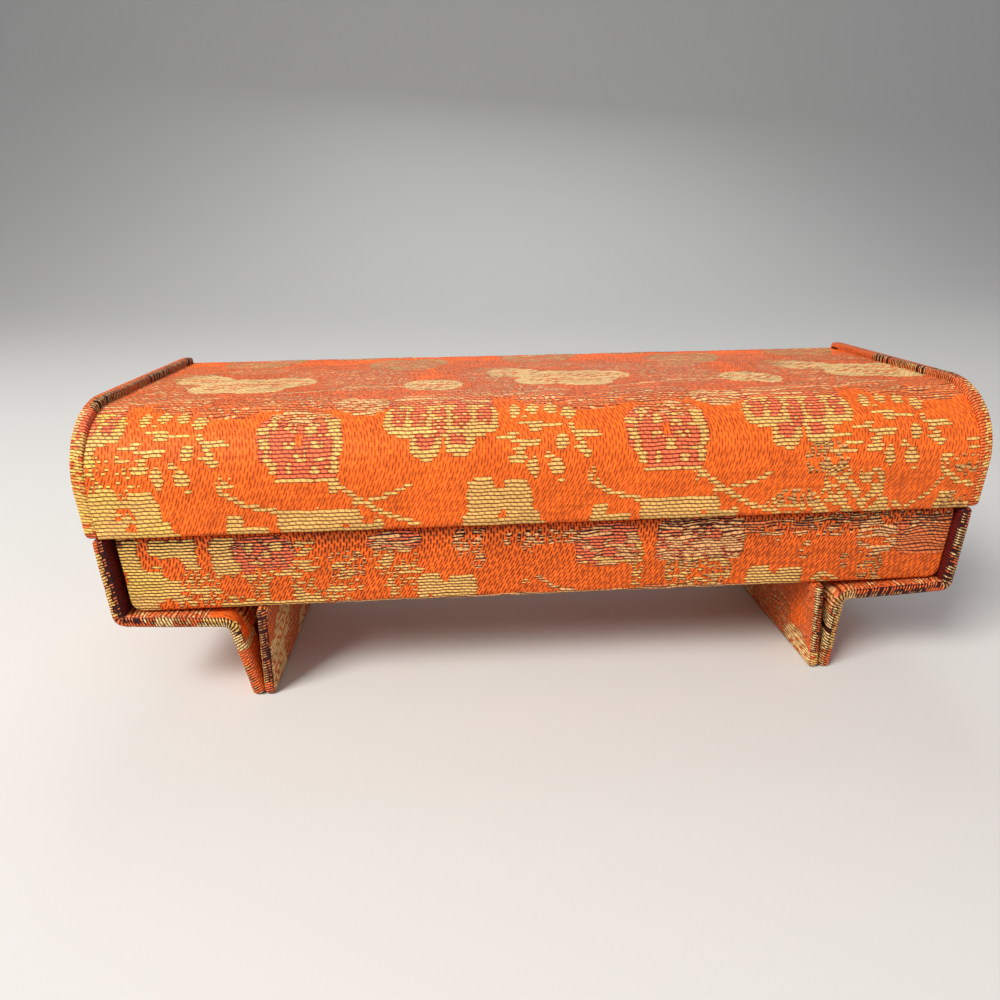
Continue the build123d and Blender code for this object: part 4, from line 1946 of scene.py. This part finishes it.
@dataclass
class Lid:
    """The lid: a cloth over front, nose and top, two end boards above it, a back and a lining."""

    maker: Maker
    nose: float = 15.1
    lower_edge: float = 0.6
    fold: float = 2.8
    cloth: float = 0.5
    cloth_edge: float = 0.12
    soft: float = 0.16
    end_edge: float = 0.42
    end_turnover: float = 4.0
    end_soft: float = 0.12
    end_corners: tuple[float, float, float, float] = (15.9, 0.9, 0.6, 1.6)
    wadding_thick: float = 0.75
    wadding_half: float = 87.4
    wadding_soft: float = 0.1
    lining_nose: float = 11.9
    lining_edge: float = 0.8
    lining_thick: float = 0.34
    lining_steps: tuple[float, float, float] = (6.0, 6.0, 5.0)

    def build(self) -> None:
        """Makes every piece of the lid that shows, and its wadding."""
        self.wrap()
        self.wadding()
        for side in Side:
            self.end(side)
        self.lining()

    def wrap(self) -> None:
        """The brocade from under the front edge, up over the nose and to the back of the top."""
        low, high = corners_of("lid_cloth")
        foot, inner_y, inner_z = low.y + self.fold, low.y + self.cloth, high.z - self.cloth
        corners = [
            (foot, low.z), (low.y, low.z), (low.y, high.z), (high.y, high.z), (high.y, inner_z),
            (inner_y, inner_z), (inner_y, low.z + self.cloth), (foot, low.z + self.cloth),
            (foot, low.z),
        ]
        thin, inner_nose = self.cloth_edge, self.nose - self.cloth
        line = BentLine(corners, (self.lower_edge, self.nose, thin, thin, inner_nose, thin, thin))
        zero = line.mark(0)
        top = line.mark(2) - zero
        outer = thread_lines(-zero, top, WEFT_PITCH)
        inner = np.linspace(top, line.length - zero, 26)[1:]
        lines = (thread_lines(low.x, high.x, PICK), np.concatenate([outer, inner]))
        made = self.maker.cloth("lid_brocade", Wrap(line, zero, self.soft), lines, LID_PATTERN)
        self.maker.mount(made, "lid", "brocade", "lid_cloth")

    def wadding(self) -> None:
        """The thin wadding between the lid's card and its cloth."""
        low, high = corners_of("lid_padding")
        line = [(low.y, low.z), (low.y, high.z), (high.y, high.z)]
        section, out = closed_section(line, (self.nose - self.cloth,), self.wadding_thick)
        along = np.linspace(-self.wadding_half, self.wadding_half, 60)
        back = np.linspace(out, section.length, 16)[1:]
        lines = (along, np.concatenate([np.linspace(0, out, 40), back]))
        mesh = self.maker.plain_sheet("lid_wadding", lines, Wrap(section, 0.0, -self.wadding_soft))
        made = self.maker.piece("lid_wadding", mesh, self.maker.wadding)
        self.maker.mount(made, "lid", "wadding", "lid_padding")

    def end(self, side: Side) -> None:
        """One end board's cloth, drawn over its edges all round.

        Args:
            side: The end.
        """
        node = f"lid_end_cloth_{side.word}"
        low, high = corners_of(node)
        outer = high.x if side is Side.RIGHT else low.x

        def place(a: Array, b: Array, depth: Array) -> Array:
            """Stands the board up at its end of the lid."""
            return np.stack([outer - side.value * depth, a, b], 1)

        form = DrapedBoard(
            (low.y, low.z), (high.y, high.z), self.end_corners, high.x - low.x, self.end_edge,
            self.end_turnover, place, soft=self.end_soft, stretches=RIM[side],
        )
        pattern = Brocade(TILE, slide_u=side.value * 31.0 - 8.0, slide_v=-38.4)
        lines = form.lines(2)
        made = self.maker.cloth(f"lid_end_brocade_{side.word}", form, lines, pattern, seam=False)
        self.maker.mount(made, "lid", "brocade", node)

    def lining(self) -> None:
        """The satin that lines the lid: a box open below, with a nose like the lid's."""
        low, high = corners_of("lid_lining")
        size, middle = high - low, (low + high) / 2
        bevel = {"profile": 0.5, "affect": "EDGES", "material": -1}
        bm = bmesh.new()
        stretch = Matrix.Translation(middle) @ Matrix.Diagonal((*size, 1.0))
        bmesh.ops.create_cube(bm, size=1.0, matrix=stretch)
        front = [
            edge for edge in bm.edges
            if all(vert.co.y < middle.y and vert.co.z > middle.z for vert in edge.verts)
        ]
        bmesh.ops.bevel(bm, geom=front, offset=self.lining_nose, segments=14, **bevel)
        below = [
            face for face in bm.faces if all(abs(vert.co.z - low.z) < 1e-4 for vert in face.verts)
        ]
        bmesh.ops.delete(bm, geom=below, context="FACES_ONLY")
        sharp = [
            edge for edge in bm.edges if not edge.is_boundary and edge.calc_face_angle(0.0) > 0.6
        ]
        bmesh.ops.bevel(bm, geom=sharp, offset=self.lining_edge, segments=3, **bevel)
        for axis, step in enumerate(self.lining_steps):
            slice_along(bm, axis, np.arange(low[axis] + step, high[axis] - step / 2, step))
        bmesh.ops.remove_doubles(bm, verts=bm.verts[:], dist=0.002)
        bmesh.ops.transform(bm, matrix=Matrix.Scale(MM, 4), verts=bm.verts[:])
        made = self.maker.satin_piece("lid_satin", bm, self.lining_thick)
        self.maker.mount(made, "lid", "satin_lining", "lid_lining")


@dataclass(frozen=True)
class Leg:
    """Where a leg stands: its outer board's root and tip, its inner board's top and foot."""

    root: float
    tip: float
    inner_top: float
    inner_foot: float


LEGS = {Side.LEFT: Leg(66.6, 63.9, 58.2, 59.3), Side.RIGHT: Leg(65.6, 65.1, 58.3, 60.4)}


@dataclass
class Tray:
    """The tray's outside: front panel, underside, side shells and legs."""

    maker: Maker
    panel_corners: tuple[float, float, float, float] = (0.7, 0.7, 2.4, 2.4)
    panel_edge: float = 0.6
    panel_turnover: float = 4.0
    panel_soft: float = 0.1
    shell: float = 2.5
    shell_top: float = 38.05
    shell_side: float = 89.3
    shell_soft: float = 0.06
    # Below and above these places up the shell, its inner face is painted dark, as painted shade.
    shell_hidden: tuple[float, float] = (15.0, 42.0)
    underside: float = 18.6
    underside_half: float = 86.0
    droop: float = 1.2
    corner_bend: float = 1.35
    leg_bend: float = 2.35
    leg_face: float = 6.0
    inner_thick: float = 2.1
    inner_lift: float = 0.25
    inner_tip: float = 0.6
    inner_edge: float = 0.7
    cloth_gap: float = 0.02

    def build(self) -> None:
        """Makes every piece of the tray's outside."""
        self.panel()
        for side in Side:
            self.side_shell(side)
            self.inner_leg(side)
        self.underneath()

    def panel(self) -> None:
        """The front panel's cloth, drawn over its edges."""
        low, high = corners_of("tray_front_cloth")

        def place(a: Array, b: Array, depth: Array) -> Array:
            """Stands the panel up at the tray's front."""
            return np.stack([a, low.y + depth, b + low.z], 1)

        form = DrapedBoard(
            (low.x, 0.0), (high.x, high.z - low.z), self.panel_corners, high.y - low.y,
            self.panel_edge, self.panel_turnover, place, self.panel_soft, weft=PANEL_PATTERN.weft,
        )
        lines = form.lines(1)
        made = self.maker.cloth("tray_front_brocade", form, lines, PANEL_PATTERN, seam=False)
        self.maker.mount(made, "tray", "brocade", "tray_front_cloth")

    def side_shell(self, side: Side) -> None:
        """One bent shell's cloth: leg, return and wall.

        Args:
            side: The shell's end of the box.
        """
        leg = LEGS[side]
        outer = [
            (leg.tip, 0.0), (leg.root, self.underside - self.droop),
            (self.shell_side, self.underside), (self.shell_side, self.shell_top),
        ]
        form = CoveredBoard(
            outer, (self.leg_bend, self.corner_bend), self.shell, side, soft=self.shell_soft,
            stretches=SHELL[side], hidden=self.shell_hidden, leg_face=self.leg_face,
        )
        pattern = Brocade(TILE, slide_u=side.value * 17.0 - 20.0, slide_v=6.0)
        made = self.maker.cloth(f"shell_brocade_{side.word}", form, form.lines(2), pattern)
        self.maker.mount(made, "tray", "brocade", f"shell_cloth_{side.word}")

    def inner_leg(self, side: Side) -> None:
        """The cloth on a leg's inner board.

        Args:
            side: The leg's end of the box.
        """
        leg, thick = LEGS[side], self.inner_thick
        outer = [
            (leg.inner_foot + thick, self.inner_lift),
            (leg.inner_top + thick, self.underside + self.shell),
        ]
        form = CoveredBoard(
            outer, (), thick, side, edge=self.inner_edge, tip=self.inner_tip,
            stretches=INNER_LEG[side],
        )
        pattern = Brocade(TILE, slide_u=side.value * 24.0, slide_v=40.0)
        made = self.maker.cloth(f"leg_inner_brocade_{side.word}", form, form.lines(1), pattern)
        self.maker.mount(made, "tray", "brocade", f"leg_inner_cloth_{side.word}")

    def underneath(self) -> None:
        """The cloth under the tray, between its legs and its shells."""
        low, high = corners_of("underside_cloth")
        level, thick = low.z + self.cloth_gap, high.z - low.z - 2 * self.cloth_gap
        section, out = closed_section([(high.y, level), (low.y, level)], (), thick)
        back = np.linspace(out, section.length, 13)[1:]
        up = np.concatenate([thread_lines(0, out, WEFT_PITCH), back])
        form = Wrap(section, 0.0, half_width=lambda z: np.full(z.shape, self.underside_half))
        lines = (thread_lines(-HALF_CUT, HALF_CUT, PICK), up)
        pattern = Brocade(TILE, slide_u=20.0, slide_v=11.0)
        made = self.maker.cloth("underside_brocade", form, lines, pattern)
        self.maker.mount(made, "tray", "brocade", "underside_cloth")


@dataclass
class TubWall(Form):
    """A sheet that stands on a rounded rectangle, counted from 0 to 4 round it."""

    bend: BentLine
    across: float
    deep: float
    middle_y: float
    corner: float
    soft: float
    soft_from: float = 15.0
    loop: BentLine = field(init=False)

    def __post_init__(self) -> None:
        """Works out the way round."""
        a, b = self.across, self.deep
        corners = [(0, -b), (a, -b), (a, b), (-a, b), (-a, -b), (0, -b)]
        self.loop = BentLine(corners, (self.corner,) * 4)

    def lay(self, u: Array, v: Array) -> Array:
        """Stands the sheet up.

        Args:
            u: Places round the rectangle.
            v: Places up the sheet.

        Returns:
            Where they lie.
        """
        section, _ = self.bend.at(v)
        point, _ = self.loop.at(u / 4 * self.loop.length)
        hold = ease(v - self.soft_from, 4) * ease(np.minimum(u, 4 - u), 1 / 8)
        inward = section[:, 0] + self.soft * hold * ripple(u * 80, v, 30.0, 4.0)
        shrink = 1 - inward[:, None] / (self.across, self.deep)
        return np.stack([*(point * shrink + (0, self.middle_y)).T, section[:, 1]], 1)


@dataclass
class Inside:
    """The lined inside of the tray, with its pad."""

    maker: Maker
    sheet: float = 0.36
    sheet_soft: float = 0.05
    wall: float = 2.0
    lip: float = 0.7
    corner: float = 1.0
    floor_gap: float = 0.3
    hem_level: float = 23.9
    hem_bend: float = 0.8
    hem: float = 1.2
    pad_cuts: tuple[int, int, int] = (96, 30, 4)
    pad_side: float = 6.0
    pad_pull: float = 0.012
    pad_end_pull: float = 0.006
    pad_low_rim: float = 0.25
    pad_crown: float = 0.26
    pad_swell: float = 0.14
    pad_creases: float = 0.3

    def build(self) -> None:
        """Makes the tray's lining and the pad on its floor."""
        self.lining()
        self.pad()

    def lining(self) -> None:
        """The satin over the inner walls, turned over their lip and glued outside."""
        low, high = corners_of("tray_lining")
        near, far, top = self.sheet / 2, self.wall - self.sheet / 2, high.z - self.sheet / 2
        foot = (far, self.hem_level), (self.wall + self.hem, self.hem_level)
        corners = [(near, low.z + self.floor_gap), (near, top), (far, top), *foot]
        bend = BentLine(corners, (self.lip, self.lip, self.hem_bend))
        size, middle_y = (high - low) / 2, (low.y + high.y) / 2
        form = TubWall(bend, size.x, size.y, middle_y, self.corner, self.sheet_soft)
        lines = (np.linspace(0, 4, 321), np.linspace(0, bend.length, 70))
        mesh = self.maker.plain_sheet("tray_satin", lines, form, openings=False)
        bm = bmesh.new()
        bm.from_mesh(mesh)
        bpy.data.meshes.remove(mesh)
        floor = [
            edge for edge in bm.edges
            if edge.is_boundary and edge.verts[0].co.z < (self.hem_level + 1.1) * MM
        ]
        bmesh.ops.holes_fill(bm, edges=floor, sides=0)
        made = self.maker.satin_piece("tray_satin", bm, self.sheet)
        self.maker.mount(made, "tray", "satin_lining", "tray_lining")

    def pad(self) -> None:
        """The crowned pad on the tray's floor, its sides pulled in between its corners."""
        bm = bmesh.new()
        bmesh.ops.create_cube(bm, size=2.0)
        for axis, cuts in enumerate(self.pad_cuts):
            slice_along(bm, axis, [2 * cut / cuts - 1 for cut in range(1, cuts)])
        places = self.crowned(*np.array([vert.co[:] for vert in bm.verts]).T)
        for vert, spot in zip(bm.verts, places * MM):
            vert.co = spot
        bmesh.ops.recalc_face_normals(bm, faces=bm.faces[:])
        mesh = bpy.data.meshes.new("tray_cushion")
        bm.to_mesh(mesh)
        bm.free()
        made = self.maker.piece("tray_cushion", mesh, self.maker.satin)
        self.maker.mount(made, "tray", "satin_lining", "tray_pad")

    def crowned(self, a: Array, b: Array, c: Array) -> Array:
        """Turns a cube's places into the pad's.

        Args:
            a: Places along the box, from -1 to 1.
            b: Places across it.
            c: Places up it.

        Returns:
            Where they lie on the pad, in millimetres.
        """
        low, high = corners_of("tray_pad")
        (across, deep, half), middle = (high - low) / 2, (low + high) / 2
        x = a * across * (1 - self.pad_end_pull * (1 - b**2) * np.abs(a) ** 12)
        off_y = b * deep * (1 - self.pad_pull * (1 - a**2) * np.abs(b) ** 6)
        y = middle.y + off_y
        edge = np.minimum(across - np.abs(x), deep - np.abs(off_y))
        rise = 1 - (1 - ease(edge, self.pad_side)) ** 2.4
        height = self.pad_low_rim + (1 - self.pad_low_rim) * rise
        crown = 1 - self.pad_crown + self.pad_crown * (1 - a**6) * (1 - b**4)
        swell = self.pad_swell * ripple(x, y, 15.0, 6.0) * rise
        creases = self.pad_creases * ripple(x, 3 * y, 7.0, 11.0) * rise * (1 - rise)
        top = middle.z + (half * crown * height + swell + creases) * np.clip(c, 0, 1)
        bottom = middle.z + half * c * height
        return np.stack([x, y, np.where(c > 0, np.minimum(top, high.z), bottom)], 1)


@dataclass
class Back:
    """The one cloth down the back of lid and tray, which is also the hinge."""

    maker: Maker
    thick: float = 0.46
    narrow: float = 86.8
    hinge_y: float = 30.5
    hinge_z: float = 38.2
    bend: float = 1.0
    fine_reach: float = 2.4
    fine_step: float = 0.2

    def build(self) -> None:
        """Makes the cloth, with fine rows where the lid turns."""
        low, high = corners_of("back_cloth_tray")[0], corners_of("back_cloth_lid")[1]
        line, out = closed_section([(high.y, low.z), (high.y, high.z)], (), -self.thick)

        def half_width(z: Array) -> Array:
            """The cloth is cut narrower below the lid."""
            above = np.clip((z - self.hinge_z) / 0.3 + 0.5, 0, 1)
            return self.narrow + (HALF_CUT - self.narrow) * above

        near, reach = self.hinge_z - low.z, self.fine_reach
        fine = np.arange(near - reach, near + reach, self.fine_step)
        front = np.concatenate([thread_lines(0, out, WEFT_PITCH), fine])
        back = np.concatenate([np.linspace(out, line.length, 30), line.length - fine])
        up = np.concatenate([np.unique(front), np.unique(back)[1:]])
        lines = (thread_lines(-HALF_CUT, HALF_CUT, PICK), up)
        pattern = Brocade(TILE, slide_u=-12.0, slide_v=-28.0)
        form = Wrap(line, 0.0, half_width=half_width)
        made = self.maker.cloth("back_brocade", form, lines, pattern)
        (self.hinge_z - self.bend) * MM
        (self.hinge_z + self.bend) * MM
        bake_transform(made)
        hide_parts("back_cloth_tray", "back_cloth_lid")
        log.info("%s: %d faces across the hinge", made.name, len(made.data.polygons))


@dataclass(frozen=True)
class Lamp:
    """A square soft lamp that faces the box."""

    name: str
    place: tuple[float, float, float]
    size: float
    power: float
    tint: tuple[float, float, float]

    def build(self) -> None:
        """Hangs the lamp."""
        data = bpy.data.lights.new(self.name, "AREA")
        data.size, data.energy, data.color = self.size, self.power, self.tint
        lamp = bpy.data.objects.new(self.name, data)
        lamp.location = self.place
        aim = Vector((0, 0, 0.03)) - Vector(self.place)
        lamp.rotation_euler = aim.to_track_quat("-Z", "Y").to_euler()
        bpy.context.scene.collection.objects.link(lamp)


@dataclass
class Studio:
    """A pale floor that sweeps up behind, soft lamps, and the camera. Lengths are metres here.

    The key comes from the upper left in front. The fill and the back lamp are weaker.
    """

    maker: Maker
    lamps: tuple[Lamp, ...] = (
        Lamp("key", (-0.5, -0.4, 0.68), 0.4, 10.5, (1.0, 0.96, 0.9)),
        Lamp("fill", (0.9, -0.6, 0.5), 0.9, 2.0, (0.95, 0.97, 1.0)),
        Lamp("back", (0.1, 0.9, 0.9), 0.9, 4.0, (0.97, 0.98, 1.0)),
    )
    sky: Colour = (0.93, 0.95, 1.0, 1.0)
    sky_strength: float = 0.28
    floor_line: tuple[tuple[float, float], ...] = ((-2.5, 0.0), (1.6, 0.0), (1.6, 2.6))
    floor_bend: float = 0.9
    floor_half: float = 3.0
    eye: tuple[float, float, float] = (-0.016236, -0.148886, 0.091566)
    yaw: float = -0.0562
    pitch: float = 0.3822
    roll: float = -0.0145
    focal_pixels: float = 648.78
    picture_pixels: float = 1000.0
    sensor: float = 36.0
    nearest: float = 0.005

    def build(self) -> None:
        """Sets up everything round the box."""
        self.floor()
        for lamp in self.lamps:
            lamp.build()
        world = bpy.data.worlds.new("studio")
        world.use_nodes = True
        backdrop = world.node_tree.nodes["Background"]
        backdrop.inputs["Color"].default_value = self.sky
        backdrop.inputs["Strength"].default_value = self.sky_strength
        bpy.context.scene.world = world
        self.camera()

    def floor(self) -> None:
        """One sheet of floor, bent up into a backdrop."""
        mesh = bpy.data.meshes.new("floor")
        bm = bmesh.new()
        bmesh.ops.create_grid(bm, x_segments=2, y_segments=60, size=1.0)
        line = BentLine(self.floor_line, (self.floor_bend,))
        far = np.array([(vert.co.y + 1) / 2 for vert in bm.verts]) * line.length
        for vert, point in zip(bm.verts, line.at(far)[0]):
            vert.co = (vert.co.x * self.floor_half, *point)
        bm.to_mesh(mesh)
        bm.free()
        floor = self.maker.piece("floor", mesh, FloorFinish().build())

    def camera(self) -> None:
        """The camera where the photographer held it."""
        data = bpy.data.cameras.new("camera")
        data.sensor_width = self.sensor
        data.lens = self.focal_pixels * self.sensor / self.picture_pixels
        data.clip_start = self.nearest
        level = Vector((math.cos(self.yaw), math.sin(self.yaw), 0.0))
        ahead = Vector((-level.y, level.x, 0.0)) * math.cos(self.pitch)
        forward = ahead - Vector((0.0, 0.0, math.sin(self.pitch)))
        above = level.cross(forward)
        right = math.cos(self.roll) * level + math.sin(self.roll) * above
        up = -math.sin(self.roll) * level + math.cos(self.roll) * above
        turn = Matrix((right, up, -forward)).transposed()
        camera = bpy.data.objects.new("camera", data)
        camera.matrix_world = Matrix.Translation(self.eye) @ turn.to_4x4()
        bpy.context.scene.collection.objects.link(camera)
        bpy.context.scene.camera = camera


def main() -> None:
    """Builds the box piece by piece, then the studio round it."""
    logging.basicConfig(level=logging.INFO, format="%(name)s: %(message)s")
    bpy.context.scene.view_settings.view_transform = "Standard"
    maker = Maker()
    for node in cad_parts.values():
        node.data.materials.clear()
        node.data.materials.append(maker.card)
    for part in (Lid, Tray, Inside, Back, Studio):
        part(maker).build()


if __name__ == "__main__":
    main()
